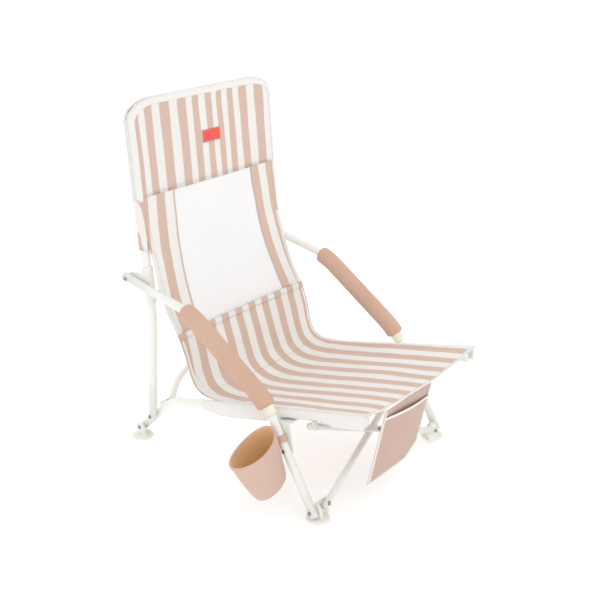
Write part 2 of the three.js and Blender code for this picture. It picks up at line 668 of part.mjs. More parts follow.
// A slab of cloth along part of the sling, from its face back by a thickness.
function clothSlab(from, to, halfWidth, thickness, skin = 0) {
  const part = sliceStations(slingLine, from, to);
  const behind = (s, depth) => s.point.clone().add(at(-s.tangent.y, s.tangent.x).multiplyScalar(depth));
  const outline = new THREE.Shape([
    ...part.map((s) => behind(s, skin)),
    ...part.map((s) => behind(s, skin + thickness)).reverse(),
  ]);
  return sidePlate(outline, 1, -halfWidth, halfWidth);
}

function windowPrism(inset) {
  const shape = new THREE.Shape([
    at(-WINDOW.bottomHalf + inset, WINDOW.bottom + inset),
    at(WINDOW.bottomHalf - inset, WINDOW.bottom + inset),
    at(WINDOW.topHalf - inset, WINDOW.top - inset),
    at(-WINDOW.topHalf + inset, WINDOW.top - inset),
  ]);
  return plate(shape, new THREE.Vector3(), X, new THREE.Vector3(0, 0, 1), -400, 0);
}

function makeSling() {
  const seam = slingAlong(HEAD_SEAM_Z);
  const hem = slingAlong(HEM_Z);
  const end = slingLine[slingLine.length - 1].along;
  add('headrest_panel', clothSlab(0.1, seam, BACK_HALF_WIDTH, CLOTH * 2), 'stripe');
  add('back_panel', clothSlab(seam + GAP, hem, BACK_HALF_WIDTH, CLOTH).subtract(windowPrism(0)), 'stripe');
  const mesh = clothSlab(seam + GAP, hem, BACK_HALF_WIDTH, CLOTH / 2, CLOTH / 4).intersect(windowPrism(GAP));
  add('mesh_window', mesh, 'mesh');
  add('seat_sling', clothSlab(hem + GAP, end - 0.1, SEAT_HALF_WIDTH, CLOTH), 'stripe');
}

function makeLabel() {
  const along = slingAlong(LABEL.z);
  const half = LABEL.height / 2;
  const patch = clothSlab(along - half, along + half, LABEL.width / 2, LABEL.thickness);
  const face = slingLine[0].tangent;
  const out = GAP + LABEL.thickness;
  add('label_patch', patch.translate([LABEL.x, face.y * out, -face.x * out]), 'label');
}

function makePocket() {
  const { left, right, top, bottom, clip } = POCKET;
  const outline = new THREE.Shape([
    at(left, 0),
    at(left, bottom - top),
    at(right - clip, bottom - top),
    at(right, bottom - top + clip),
    at(right, 0),
  ]);
  const down = new THREE.Vector3(0, -POCKET.back, top - bottom).normalize();
  const origin = new THREE.Vector3(0, POCKET.y, top);
  add('front_pocket', plate(outline, origin, X, down, 0, POCKET.depth), 'pocket');
}

// The cup: a cone of stiffened cloth, open at the top, its round rim pressed narrower across.
function makeCup() {
  const axis = CUP_RIM.clone().sub(CUP_BASE);
  const height = axis.length();
  axis.normalize();
  const inner = CUP.wall;
  const profile = [
    [0, 0],
    [CUP.baseRadius, 0],
    [CUP.rimRadius, height],
    [CUP.rimRadius - inner, height],
    [CUP.baseRadius - inner, CUP.base],
    [0, CUP.base],
  ].map(([radius, up]) => at(radius, up));
  const geometry = new THREE.LatheGeometry(profile, 28);
  geometry.scale(1, 1, CUP.squash);
  const across = X.clone().addScaledVector(axis, -X.dot(axis)).normalize();
  geometry.applyMatrix4(new THREE.Matrix4().makeBasis(across, axis, across.clone().cross(axis)));
  geometry.translate(CUP_BASE.x, CUP_BASE.y, CUP_BASE.z);
  add('cup_holder', solid(geometry), 'pocket');
  const strapEnd = armLine[armLine.length - 1].along - STRAP.along - END_LENGTH;
  const loop = sliceStations(armLine, strapEnd - STRAP.width, strapEnd);
  // The strap stops at the leg's inner side, where the saddle bracket lies.
  const around = linkOutline(loop[0].point, loop[loop.length - 1].point, PAST);
  const saddleSide = sidePlate(around, -1, RAIL_X, ARM_X - TUBE / 2 + 1);
  const bore = TUBE + 2 * (BORE_GAP + BEND_GAP);
  const ring = sideTube(-ARM_X, loop, STRAP.outside, bore, 20, 12);
  add('cup_strap', ring.subtract(saddleSide), 'pocket');
}

makeSling();
makeLabel();
makePocket();
makeCup();

// The origin is moved under the middle of the whole, with the cup holder that hangs on one side.
const middle = new THREE.Box3().setFromObject(chair).getCenter(new THREE.Vector3());
chair.position.set(-middle.x, -middle.y, 0);

export default chair;
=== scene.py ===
# %% [markdown]
# # A low folding camp chair
# The steel frame, rivets and moulded fittings come in as a fixed model. Here the cloth, foam and tubes
# get their looks. Everything below is written in the chair's own millimetres, from the floor point midway
# between the two sides. The chair faces -Y, and the sitter's right is -X.

# %% Load the frame
import bisect
import json
import math
import bpy
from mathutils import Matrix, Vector, noise

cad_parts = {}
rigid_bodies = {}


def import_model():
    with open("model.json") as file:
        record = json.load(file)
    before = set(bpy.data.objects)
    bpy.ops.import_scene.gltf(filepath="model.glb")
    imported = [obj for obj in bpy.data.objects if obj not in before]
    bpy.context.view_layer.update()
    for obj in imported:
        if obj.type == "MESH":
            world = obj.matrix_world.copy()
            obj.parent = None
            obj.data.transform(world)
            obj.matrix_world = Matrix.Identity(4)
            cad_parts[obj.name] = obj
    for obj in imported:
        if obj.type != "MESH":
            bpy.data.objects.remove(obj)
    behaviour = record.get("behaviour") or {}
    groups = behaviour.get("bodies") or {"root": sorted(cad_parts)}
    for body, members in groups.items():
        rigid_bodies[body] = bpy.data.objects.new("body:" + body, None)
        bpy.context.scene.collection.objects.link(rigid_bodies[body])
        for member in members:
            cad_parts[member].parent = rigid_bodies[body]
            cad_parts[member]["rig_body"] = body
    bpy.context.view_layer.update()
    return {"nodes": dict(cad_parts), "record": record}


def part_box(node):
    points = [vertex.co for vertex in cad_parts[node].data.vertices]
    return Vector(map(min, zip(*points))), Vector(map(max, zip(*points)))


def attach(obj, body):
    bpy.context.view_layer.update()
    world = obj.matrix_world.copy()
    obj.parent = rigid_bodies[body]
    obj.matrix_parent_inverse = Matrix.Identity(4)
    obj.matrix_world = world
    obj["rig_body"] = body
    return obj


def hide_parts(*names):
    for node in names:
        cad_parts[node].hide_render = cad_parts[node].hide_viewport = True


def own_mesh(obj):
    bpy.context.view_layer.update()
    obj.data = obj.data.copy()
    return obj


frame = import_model()
MM = 0.001
SIDES = {"right": -1, "left": 1}
MIDDLE_X = sum(sum(c.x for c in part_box(f"upright_{s}")) for s in SIDES) / 4
MIDDLE_Y = -0.00057


def world(x, y, z):
    return Vector((x * MM + MIDDLE_X, y * MM + MIDDLE_Y, z * MM))


# %% [markdown]
# ## Camera
# A camera is set by where it stands, what it looks at and its lens. This one stands low, off the sitter's
# right front corner. A lens of about 60 mm from two metres keeps the near side only a little larger than
# the far side.

# %% Camera
CAMERA_AT = world(-1565.2, -1252.6, 1149.8)
LOOK_AT = world(0, 0, 345.5)
LENS_MM = 61.0
camera = bpy.data.objects.new("camera", bpy.data.cameras.new("camera"))
bpy.context.scene.collection.objects.link(camera)
camera.location = CAMERA_AT
camera.rotation_euler = (LOOK_AT - CAMERA_AT).to_track_quat("-Z", "Y").to_euler()
camera.data.lens = LENS_MM
camera.data.sensor_width = 36
bpy.context.scene.camera = camera
print("camera stands", round((LOOK_AT - CAMERA_AT).length, 3), "m away")

# %% [markdown]
# ## Light
# White cloth needs soft light from wide lamps, or its folds burn out. A bright even world fills the
# shadows, a wide lamp overhead shapes the cloth, and a weaker one behind keeps the back's edge off the
# background.

# %% Light
def lamp(name, place, aim, size, power):
    data = bpy.data.lights.new(name, "AREA")
    data.size = size
    data.energy = power
    lamp_object = bpy.data.objects.new(name, data)
    bpy.context.scene.collection.objects.link(lamp_object)
    lamp_object.location = place
    lamp_object.rotation_euler = (Vector(aim) - Vector(place)).to_track_quat("-Z", "Y").to_euler()


studio = bpy.data.worlds.new("studio")
studio.use_nodes = True
studio.node_tree.nodes["Background"].inputs["Color"].default_value = (1, 1, 1, 1)
studio.node_tree.nodes["Background"].inputs["Strength"].default_value = 1.0
bpy.context.scene.world = studio
lamp("key", (-1.2, -1.6, 2.4), (0, 0, 0.3), 1.8, 6)
lamp("fill", (2.0, -1.2, 1.6), (0, 0, 0.3), 2.0, 4)
lamp("back", (0.4, 2.2, 1.9), (0, 0, 0.4), 1.6, 6)
bpy.context.scene.view_settings.view_transform = "Standard"

# %% [markdown]
# ## Shared effects
# The cloth, webbing and foam all share a few effects, so each is a node group with named sockets. `weave`
# gives the over-and-under height of a plain weave from a map in metres. `soft wear` shifts a colour by
# slow and fast noise, as dye lots and dust do. `skin` is the fine unevenness of paint, foam or moulded
# plastic.

# %% Node group helper
def new_group(name, ins, outs):
    group = bpy.data.node_groups.new(name, "ShaderNodeTree")
    for label, kind, value in ins:
        socket = group.interface.new_socket(label, in_out="INPUT", socket_type=kind)
        if value is not None:
            socket.default_value = value
    for label, kind in outs:
        group.interface.new_socket(label, in_out="OUTPUT", socket_type=kind)
    return group, group.nodes.new("NodeGroupInput"), group.nodes.new("NodeGroupOutput")


def feed(tree, socket, value):
    """Puts a number, a colour or another node's output into a socket."""
    if isinstance(value, tuple):
        socket.default_value = (*value, 1)
    elif isinstance(value, (int, float)):
        socket.default_value = value
    else:
        tree.links.new(value, socket)


def feed_all(tree, node, values):
    for label, value in values.items():
        feed(tree, node.inputs[label], value)


def math_node(tree, operation, *values, clamp=False):
    node = tree.nodes.new("ShaderNodeMath")
    node.operation = operation
    node.use_clamp = clamp
    for socket, value in zip(node.inputs, values):
        feed(tree, socket, value)
    return node.outputs[0]


def mix_color(tree, factor, a, b):
    node = tree.nodes.new("ShaderNodeMix")
    node.data_type = "RGBA"
    for socket, value in zip((node.inputs[0], node.inputs[6], node.inputs[7]), (factor, a, b)):
        feed(tree, socket, value)
    return node.outputs[2]


def object_noise(tree, scale, detail):
    """Noise fixed to the object, so that it turns and slides with its body."""
    place = tree.nodes.new("ShaderNodeTexCoord")
    grain = tree.nodes.new("ShaderNodeTexNoise")
    feed_all(tree, grain, {"Vector": place.outputs["Object"], "Scale": scale, "Detail": detail})
    return grain.outputs["Fac"]


# %% Weave group
def build_weave():
    group, inside, out = new_group(
        "weave",
        [("Map", "NodeSocketVector", None), ("Threads", "NodeSocketFloat", 600.0)],
        [("Height", "NodeSocketFloat"), ("Gap", "NodeSocketFloat")],
    )
    split = group.nodes.new("ShaderNodeSeparateXYZ")
    group.links.new(inside.outputs["Map"], split.inputs[0])
    turns = math_node(group, "MULTIPLY", inside.outputs["Threads"], math.pi)
    across = math_node(group, "SINE", math_node(group, "MULTIPLY", split.outputs[0], turns))
    along = math_node(group, "SINE", math_node(group, "MULTIPLY", split.outputs[1], turns))
    crossing = math_node(group, "MULTIPLY", across, along)
    group.links.new(math_node(group, "MULTIPLY_ADD", crossing, 0.5), out.inputs["Height"])
    edges = [math_node(group, "ABSOLUTE", wave) for wave in (across, along)]
    group.links.new(math_node(group, "MULTIPLY", *edges), out.inputs["Gap"])
    return group


# %% Wear and skin groups
def build_wear():
    group, inside, out = new_group(
        "soft wear",
        [
            ("Color", "NodeSocketColor", (1, 1, 1, 1)),
            ("Faded", "NodeSocketColor", (1, 1, 1, 1)),
            ("Amount", "NodeSocketFloat", 0.3),
        ],
        [("Color", "NodeSocketColor"), ("Mask", "NodeSocketFloat")],
    )
    slow = object_noise(group, 9.0, 4.0)
    fast = object_noise(group, 260.0, 2.0)
    both = math_node(group, "MULTIPLY", slow, math_node(group, "ADD", fast, 0.5))
    mask = math_node(group, "MULTIPLY", both, inside.outputs["Amount"], clamp=True)
    color = mix_color(group, mask, inside.outputs["Color"], inside.outputs["Faded"])
    feed_all(group, out, {"Color": color, "Mask": mask})
    return group


def build_skin():
    group, inside, out = new_group(
        "skin",
        [("Scale", "NodeSocketFloat", 400.0), ("Roughness", "NodeSocketFloat", 0.5)],
        [("Height", "NodeSocketFloat"), ("Roughness", "NodeSocketFloat")],
    )
    grain = object_noise(group, inside.outputs["Scale"], 3.0)
    spread = math_node(group, "MULTIPLY_ADD", grain, 0.16, -0.08)
    rough = math_node(group, "ADD", spread, inside.outputs["Roughness"], clamp=True)
    feed_all(group, out, {"Height": grain, "Roughness": rough})
    return group


WEAVE, WEAR, SKIN = build_weave(), build_wear(), build_skin()
print("shared groups:", WEAVE.name, WEAR.name, SKIN.name)


# %% [markdown]
# ## Materials
# Each material is one Principled shader with the shared groups in front of it. The stripes are a map laid
# on the mesh, counted in stripes, so that a stripe keeps its width where the cloth narrows or skews.

# %% Material helpers
def linear(rgb):
    return tuple(((c / 255 + 0.055) / 1.055) ** 2.4 if c > 10 else c / 255 / 12.92 for c in rgb)


def new_material(name):
    material = bpy.data.materials.new(name)
    material.use_nodes = True
    tree = material.node_tree
    return material, tree, tree.nodes["Principled BSDF"]


def place_group(tree, group, **values):
    node = tree.nodes.new("ShaderNodeGroup")
    node.node_tree = group
    feed_all(tree, node, values)
    return node


def relief(tree, shader, height, strength, distance):
    bump = tree.nodes.new("ShaderNodeBump")
    feed_all(tree, bump, {"Strength": strength, "Distance": distance, "Height": height})
    tree.links.new(bump.outputs["Normal"], shader.inputs["Normal"])


def map_node(tree, name):
    node = tree.nodes.new("ShaderNodeUVMap")
    node.uv_map = name
    return node.outputs["UV"]


# %% Cloth materials
PINK, PINK_DEEP = (215, 188, 173), (206, 176, 160)
WHITE, WHITE_DUSTY = (239, 237, 234), (232, 229, 224)
RELIEF_DEPTH = 0.0004  # the height in metres of a thread in the bump


def cloth_material(name, color, faded, threads=520.0, bump=0.35, pink_share=None, amount=0.55):
    """pink_share is the part of a stripe's pitch that takes the colour. The rest is white."""
    material, tree, shader = new_material(name)
    color = linear(color)
    surface = place_group(tree, WEAR, Color=color, Faded=linear(faded), Amount=amount).outputs["Color"]
    if pink_share:
        split = tree.nodes.new("ShaderNodeSeparateXYZ")
        tree.links.new(map_node(tree, "stripe"), split.inputs[0])
        whole = math_node(tree, "ROUND", split.outputs[0])
        apart = math_node(tree, "ABSOLUTE", math_node(tree, "SUBTRACT", split.outputs[0], whole))
        soft = math_node(tree, "SUBTRACT", pink_share / 2, apart)
        pink = math_node(tree, "MULTIPLY_ADD", soft, 30.0, 0.5, clamp=True)
        white = place_group(tree, WEAR, Color=linear(WHITE), Faded=linear(WHITE_DUSTY), Amount=amount)
        surface = mix_color(tree, pink, white.outputs["Color"], surface)
    weave = place_group(tree, WEAVE, Map=map_node(tree, "weave"), Threads=threads)
    # Painted shade: the gaps between threads are darkened towards a darker copy of the colour, as shadow
    # between threads would do.
    painted_gap_shade = math_node(tree, "MULTIPLY", weave.outputs["Gap"], 0.10)
    surface = mix_color(tree, painted_gap_shade, surface, tuple(c * 0.6 for c in color))
    sheen = {"Sheen Weight": 0.15, "Sheen Roughness": 0.4}
    feed_all(tree, shader, {"Base Color": surface, "Roughness": 0.88, **sheen})
    relief(tree, shader, weave.outputs["Height"], bump, RELIEF_DEPTH)
    return material


STRIPED = cloth_material("striped cloth", PINK, PINK_DEEP, pink_share=0.5)
HEAD_STRIPED = cloth_material("striped headrest cloth", PINK, PINK_DEEP, pink_share=0.52)
BINDING = cloth_material("white binding tape", WHITE, WHITE_DUSTY, threads=700.0, bump=0.25)
POCKET = cloth_material("pocket cloth", (203, 174, 161), (190, 158, 145), threads=640.0)
CUP_CLOTH = cloth_material("cup cloth", (216, 186, 170), (200, 168, 152), threads=640.0)
CUP_LINING = cloth_material("cup lining", (242, 204, 158), (214, 170, 120), threads=480.0, amount=0.9)
LABEL_RED = cloth_material("label weave", (243, 96, 88), (228, 76, 70), threads=1400.0, bump=0.2)
THREAD = cloth_material("sewing thread", (226, 214, 204), (205, 190, 178), threads=2500.0)


# %% Net for the window
def net_material():
    material, tree, shader = new_material("window net")
    weave = place_group(tree, WEAVE, Map=map_node(tree, "weave"), Threads=430.0)
    wear = place_group(tree, WEAR, Color=linear((250, 250, 250)), Faded=linear((240, 240, 241)), Amount=0.5)
    solid = math_node(tree, "MULTIPLY_ADD", weave.outputs["Gap"], -0.5, 1.06, clamp=True)
    feed_all(tree, shader, {"Base Color": wear.outputs["Color"], "Roughness": 0.8, "Alpha": solid})
    relief(tree, shader, weave.outputs["Height"], 0.3, RELIEF_DEPTH)
    return material


NET = net_material()


# %% Paint, plastic, foam and steel
def hard_material(name, color, faded, roughness, scale=350.0, bump=0.08, metallic=0.0, coat=0.0, amount=0.4):
    material, tree, shader = new_material(name)
    wear = place_group(tree, WEAR, Color=linear(color), Faded=linear(faded), Amount=amount)
    skin = place_group(tree, SKIN, Scale=scale, Roughness=roughness)
    values = {"Base Color": wear.outputs["Color"], "Roughness": skin.outputs["Roughness"]}
    values.update({"Metallic": metallic, "Coat Weight": coat, "Coat Roughness": 0.25})
    feed_all(tree, shader, values)
    relief(tree, shader, skin.outputs["Height"], bump, 0.0005)
    return material


HARD = {
    "frame": hard_material("white paint", (243, 243, 238), (228, 227, 219), 0.34, coat=0.25),
    "plastic": hard_material("white plastic", (240, 239, 232), (226, 223, 212), 0.42, scale=900.0),
    "collar": hard_material("cream plastic", (241, 236, 218), (230, 222, 198), 0.45, scale=900.0),
    "foam": hard_material(
        "grip foam", (214, 180, 160), (198, 160, 138), 0.82, scale=1500.0, bump=0.35, amount=0.8
    ),
    "rivet": hard_material("plated steel", (150, 152, 154), (110, 110, 112), 0.32, metallic=0.9),
}
SLOT_OF = {part["node"]: part["material_slot"] for part in frame["record"]["subparts"]}
for node_name, node in frame["nodes"].items():
    if SLOT_OF[node_name] in HARD:
        node.data.materials.clear()
        node.data.materials.append(HARD[SLOT_OF[node_name]])
print("hard materials:", ", ".join(HARD))

# %% [markdown]
# ## Making a mesh
# Each cloth piece is a grid of points worked out by a function, then joined into quads. A grid is easy to
# shape by formula, and its rows and columns give the maps that the weave and the stripes need.

# %% Mesh helpers
def make_piece(name, points, faces, material, body, maps):
    mesh = bpy.data.meshes.new(name)
    mesh.from_pydata([world(*p) for p in points], [], faces)
    mesh.materials.append(material)
    for label, values in maps.items():
        layer = mesh.uv_layers.new(name=label)
        for loop in mesh.loops:
            layer.data[loop.index].uv = values[loop.vertex_index]
    for polygon in mesh.polygons:
        polygon.use_smooth = True
    mesh.validate()
    piece = bpy.data.objects.new(name, mesh)
    bpy.context.scene.collection.objects.link(piece)
    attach(piece, body)
    return piece


def grid_faces(rows, columns, closed=False, flip=False):
    faces = []
    for r in range(rows - 1):
        for c in range(columns - (0 if closed else 1)):
            right = (c + 1) % columns
            face = (r * columns + c, r * columns + right, (r + 1) * columns + right, (r + 1) * columns + c)
            faces.append(face[::-1] if flip else face)
    return faces


def rod_faces(rows, columns, first=0):
    """The side and the two ends of a closed rod whose points start at first."""
    faces = grid_faces(rows, columns, closed=True)
    faces += [tuple(range(columns))[::-1], tuple(range((rows - 1) * columns, rows * columns))]
    return [tuple(first + corner for corner in face) for face in faces]


def thicken(piece, depth):
    """Gives a sheet its real thickness, on the side away from its faces."""
    solidify = piece.modifiers.new("thickness", "SOLIDIFY")
    solidify.thickness = depth * MM
    solidify.offset = -1.0
    with bpy.context.temp_override(object=piece, active_object=piece, selected_objects=[piece]):
        bpy.ops.object.modifier_apply(modifier=solidify.name)


# %% [markdown]
# ## Tubes
# The frame is bent tube. A tube is a circle carried along a line, and a frame carried without twist keeps
# its facets straight. Thirty-six sides make it round at any distance.

# %% Tube helper
TUBE_SIDES = 36


def frames_along(path):
    """Each point of a path with its direction and two cross directions, turned as little as possible."""
    path = [Vector(p) for p in path]
    result = []
    side = None
    for i, point in enumerate(path):
        ahead = path[min(i + 1, len(path) - 1)] - path[max(i - 1, 0)]
        ahead.normalize()
        if side is None:
            side = Vector((1, 0, 0)) if abs(ahead.x) < 0.7 else Vector((0, 0, 1))
        side = (side - ahead * side.dot(ahead)).normalized()
        result.append((point, ahead, side, ahead.cross(side)))
    return result


def make_tube(name, path, radius, material, body, sides=TUBE_SIDES, profile=None):
    """radius may be a number or a list along the path; profile(angle, i) scales it round the tube."""
    points, maps, along, last = [], [], 0.0, None
    for i, (centre, _, side, up) in enumerate(frames_along(path)):
        along += (centre - last).length if last is not None else 0.0
        last = centre
        r = radius[i] if isinstance(radius, list) else radius
        for k in range(sides):
            angle = 2 * math.pi * k / sides
            reach = r * (profile(angle, i) if profile else 1.0)
            points.append(centre + side * math.cos(angle) * reach + up * math.sin(angle) * reach)
            maps.append((angle * r * MM, along * MM))
    return make_piece(name, points, rod_faces(len(path), sides), material, body, {"weave": maps})


def bent_line(points, radii, steps=10):
    """A side-view line with round bends, as (y, z) points."""
    line = [Vector(points[0])]
    for i in range(1, len(points) - 1):
        corner = Vector(points[i])
        into = (corner - Vector(points[i - 1])).normalized()
        out = (Vector(points[i + 1]) - corner).normalized()
        turn = math.atan2(into.x * out.y - into.y * out.x, into.dot(out))
        r = radii[i - 1]
        reach = r * math.tan(abs(turn) / 2)
        start = corner - into * reach
        normal = Vector((-into.y, into.x)) * math.copysign(1, turn)
        for k in range(steps + 1):
            a = abs(turn) * k / steps
            line.append(start + into * r * math.sin(a) + normal * r * (1 - math.cos(a)))
    line.append(Vector(points[-1]))
    return line


def toward(a, b, distance):
    a, b = Vector(a), Vector(b)
    return a + (b - a).normalized() * distance


def along_line(line, start, end, step=6.0):
    """Points of a line between two distances along it."""
    marks = [0.0]
    for a, b in zip(line, line[1:]):
        marks.append(marks[-1] + (b - a).length)
    count = max(2, int((end - start) / step) + 1)
    result = []
    for k in range(count):
        s = start + (end - start) * k / (count - 1)
        i = min(max(bisect.bisect_right(marks, s) - 1, 0), len(line) - 2)
        result.append(line[i].lerp(line[i + 1], (s - marks[i]) / (marks[i + 1] - marks[i])))
    return result


# %% [markdown]
# The side's three tubes lie in planes of their own, one inside the next: the seat rail, then the back
# upright, then the arm that bends down into the front leg. They are drawn once and made for both sides.

# %% Side tubes
TUBE_R, CROSS_R, END = 9.0, 7.0, 11.0
UPRIGHT_X, RAIL_X, ARM_X = 205.0, 186.0, 226.4
RAIL_PIVOT, UPRIGHT_KNEE = (256, 68.4), (235.5, 305)
ARM_PIVOT, LEG_FOOT = (282, 396), (-212, 22)
ARM_BEND, LEG_BEND = (104.8, 361.3), (-96.5, 224.4)
LEAN = 0.08
RAIL_SLOPE, RAIL_CORNER = 0.2456, (209, 113.8)
COVERED_TOP = 725  # the upright ends inside the headrest


def upright_y(z):
    return UPRIGHT_KNEE[0] + LEAN * (z - UPRIGHT_KNEE[1])


def rail_z(y):
    return RAIL_CORNER[1] + RAIL_SLOPE * (RAIL_CORNER[0] - y)


upright_line = bent_line(
    [toward(RAIL_PIVOT, UPRIGHT_KNEE, -END), UPRIGHT_KNEE, (upright_y(COVERED_TOP), COVERED_TOP)], [420]
)
rail_line = bent_line([toward((304, 22), RAIL_PIVOT, -END), RAIL_CORNER, (-300, rail_z(-300))], [110])
arm_line = bent_line(
    [toward(ARM_PIVOT, ARM_BEND, -END), ARM_BEND, LEG_BEND, toward(LEG_FOOT, LEG_BEND, -END - 1)],
    [170, 150],
    14,
)
for side_name, side in SIDES.items():
    for piece_name, line, x, node_name in (
        ("upright_tube", upright_line, UPRIGHT_X, "upright"),
        ("rail_tube", rail_line, RAIL_X, "seat_rail"),
        ("arm_tube", arm_line, ARM_X, "arm_leg"),
    ):
        node_name = f"{node_name}_{side_name}"
        path = [(side * x, p.x, p.y) for p in line]
        body = frame["nodes"][node_name]["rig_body"]
        tube = make_tube(f"{piece_name}_{side_name}", path, TUBE_R, HARD["frame"], body)
        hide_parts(node_name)
print("side tubes made, arm length", round(sum((b - a).length for a, b in zip(arm_line, arm_line[1:]))), "mm")

# %% [markdown]
# Each scissor cross is two thinner tubes, one in front of the other. The front pair is straight. The rear
# pair bows outwards low down, so that it clears the seat rail when the chair folds.

# %% Cross tubes
CROSS_SHIFT = 7.5
PAST_LOW, PAST_HIGH = 8, 6  # how far a rear tube runs past its lowest hole, and any tube past its highest
BOW_SHARE = 0.37  # where the rear tube's bow rejoins the straight line
FRONT_CROSS = {"low": (188, -225, 27), "high": (188, -172, 181.5), "bow": None}
REAR_CROSS = {"low": (158, 236, 87.7), "high": (158, 245, 352), "bow": (22, 45)}
REAR_BENDS = [70, 200]


def cross_path(spec, member):
    side, shift = (1, -CROSS_SHIFT) if member == "a" else (-1, CROSS_SHIFT)
    low, high = Vector(spec["low"]), Vector(spec["high"])
    up = Vector((0, high.y - low.y, high.z - low.z))
    rise = up.length
    up.normalize()
    out = Vector((1, 0, 0)).cross(up)
    start, end = Vector((-low.x, 0)), Vector((low.x, rise))
    if spec["bow"]:
        bow = start + Vector(spec["bow"])
        ends = toward(start, bow, -PAST_LOW), toward(end, start, -PAST_HIGH)
        line = bent_line([ends[0], bow, start.lerp(end, BOW_SHARE), ends[1]], REAR_BENDS)
    else:
        line = [toward(start, end, -END), toward(end, start, -PAST_HIGH)]
    origin = Vector((0, low.y, low.z))
    return [origin + Vector((side * p.x, 0, 0)) + up * p.y + out * shift for p in line]


for cross_name, spec in (("front_cross", FRONT_CROSS), ("rear_cross", REAR_CROSS)):
    for member in "ab":
        node_name = f"{cross_name}_{member}"
        body = frame["nodes"][node_name]["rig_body"]
        path = cross_path(spec, member)
        tube = make_tube(f"{node_name}_tube", path, CROSS_R, HARD["frame"], body, 28)
        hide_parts(node_name)

# %% [markdown]
# ## Arm grips
# A grip is a foam sleeve pushed over the tube. Its ends are rounded over, its skin is dull, and a seam
# runs along its underside. A cream collar holds its lower end.

# %% Grips and collars
GRIP_R, GRIP_START, GRIP_LENGTH = 19.0, 178.0, 262.0
COLLAR_R, COLLAR_LENGTH = 13.5, 20.0
ROUNDING = 6.0


def grip_profile(angle, i):
    seam = math.exp(-(((angle - math.pi) / 0.06) ** 2))
    return 1.0 + 0.006 * math.sin(3 * angle + i * 0.21) - 0.02 * seam


def rounded(path, radius, bore, length):
    """Radii along a sleeve whose ends turn in to its bore."""
    radii = []
    for k in range(len(path)):
        s = length * k / (len(path) - 1)
        edge = min(s, length - s)
        drop = ROUNDING - math.sqrt(max(0.0, ROUNDING**2 - (ROUNDING - min(edge, ROUNDING)) ** 2))
        radii.append(max(bore, radius - drop))
    return radii


for side_name, side in SIDES.items():
    body = f"arm_{side_name}"
    grip_end = GRIP_START + GRIP_LENGTH
    grip_line = along_line(arm_line, GRIP_START, grip_end, 1.5)
    path = [(side * ARM_X, p.x, p.y) for p in grip_line]
    radii = rounded(path, GRIP_R, TUBE_R + 1, GRIP_LENGTH)
    grip = make_tube(f"foam_grip_{side_name}", path, radii, HARD["foam"], body, 48, grip_profile)
    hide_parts(f"arm_grip_{side_name}")
    collar_line = along_line(arm_line, grip_end, grip_end + COLLAR_LENGTH, 2.0)
    path = [(side * ARM_X, p.x, p.y) for p in collar_line]
    count = len(path)
    radii = [COLLAR_R - 1.6 * (k / (count - 1)) - (1.2 if k in (0, count - 1) else 0) for k in range(count)]
    collar = make_tube(f"collar_{side_name}", path, radii, HARD["collar"], body, 40)
    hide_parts(f"grip_collar_{side_name}")
print("grips", GRIP_LENGTH, "mm long")

# %% [markdown]
# ## The sling's shape
# The sling is one long cloth held at its edges: round the uprights, free past the hips, then round the
# seat rails. Between the edges it sags. So its shape is two side-view lines, one down the middle and one
# down the edge, and each row of the cloth runs from one to the other, flat in the middle and rising near
# the edge.

# %% Sling surface
# Each row of the table is (middle y, middle z, edge y, edge z, half width).
KNOTS = [
    (239.0, 572, 246.0, 572, 205.0),
    (232.0, 520, 241.0, 520, 205.0),
    (224.0, 470, 235.0, 470, 205.5),
    (212.0, 420, 221.0, 420, 206.5),
    (197.0, 375, 206.0, 373, 207.0),
    (179.0, 330, 187.0, 327, 207.0),
    (162.0, 286, 161.0, 284, 206.0),
    (145.0, 243, 143.0, 240, 205.0),
    (130.0, 205, 133.0, 203, 203.0),
    (110.0, 172, 118.0, 176, 201.0),
    (72.0, 157, 90.0, 165, 199.5),
    (20.0, 160, 40.0, 170, 199.0),
    (-40.0, 173, -30.0, 186, 198.5),
    (-100.0, 188, -100.0, 203, 198.5),
    (-160.0, 204, -160.0, 218, 198.5),
    (-220.0, 219, -220.0, 232.5, 198.5),
    (-275.0, 232, -275.0, 246, 198.5),
    (-318.0, 242, -318.0, 256, 198.5),
]
HEM_KNOT, LAST_KNOT = 6.0, len(KNOTS) - 1.0
EDGE_RISE = 2.4


def knot_value(k):
    k = min(max(k, 0.0), LAST_KNOT)
    i = min(int(k), len(KNOTS) - 2)
    t = k - i
    rows = [KNOTS[min(max(j, 0), len(KNOTS) - 1)] for j in (i - 1, i, i + 1, i + 2)]
    weights = (
        (-t + 2 * t * t - t**3) / 2,
        (2 - 5 * t * t + 3 * t**3) / 2,
        (t + 4 * t * t - 3 * t**3) / 2,
        (-t * t + t**3) / 2,
    )
    return [sum(w * row[c] for w, row in zip(weights, rows)) for c in range(5)]


def ripple(x, k):
    """The small unevenness of tensioned cloth: slow waves, with short pulls near the edge."""
    edge = min(1.0, abs(x) / 200) ** 4
    slow = noise.noise(Vector((x / 95, k * 0.55, 3.1))) * 2.2
    fine = noise.noise(Vector((x / 30, k * 2.1, 8.4))) * 0.7
    pull = edge * 1.8 * math.sin(k * 5.3 + x * 0.01) * noise.noise(Vector((k * 1.7, x / 150, 1.0)))
    return slow + fine + pull


def sling_point(u, k, lift=0.0):
    """u runs from -1 to 1 across, and k down the sling in knots. lift moves it towards the sitter."""
    my, mz, ey, ez, half = knot_value(k)
    share = abs(u) ** EDGE_RISE
    point = Vector((half * u, my + (ey - my) * share, mz + (ez - mz) * share))
    ahead = knot_value(k + 0.05)
    behind = knot_value(k - 0.05)
    down = Vector((ahead[0] - behind[0], ahead[1] - behind[1])).normalized()
    out = Vector((0, down.y, -down.x))
    fade = min(1.0, (1 - abs(u)) * 12)
    return point + out * (lift + ripple(point.x, k) * fade)


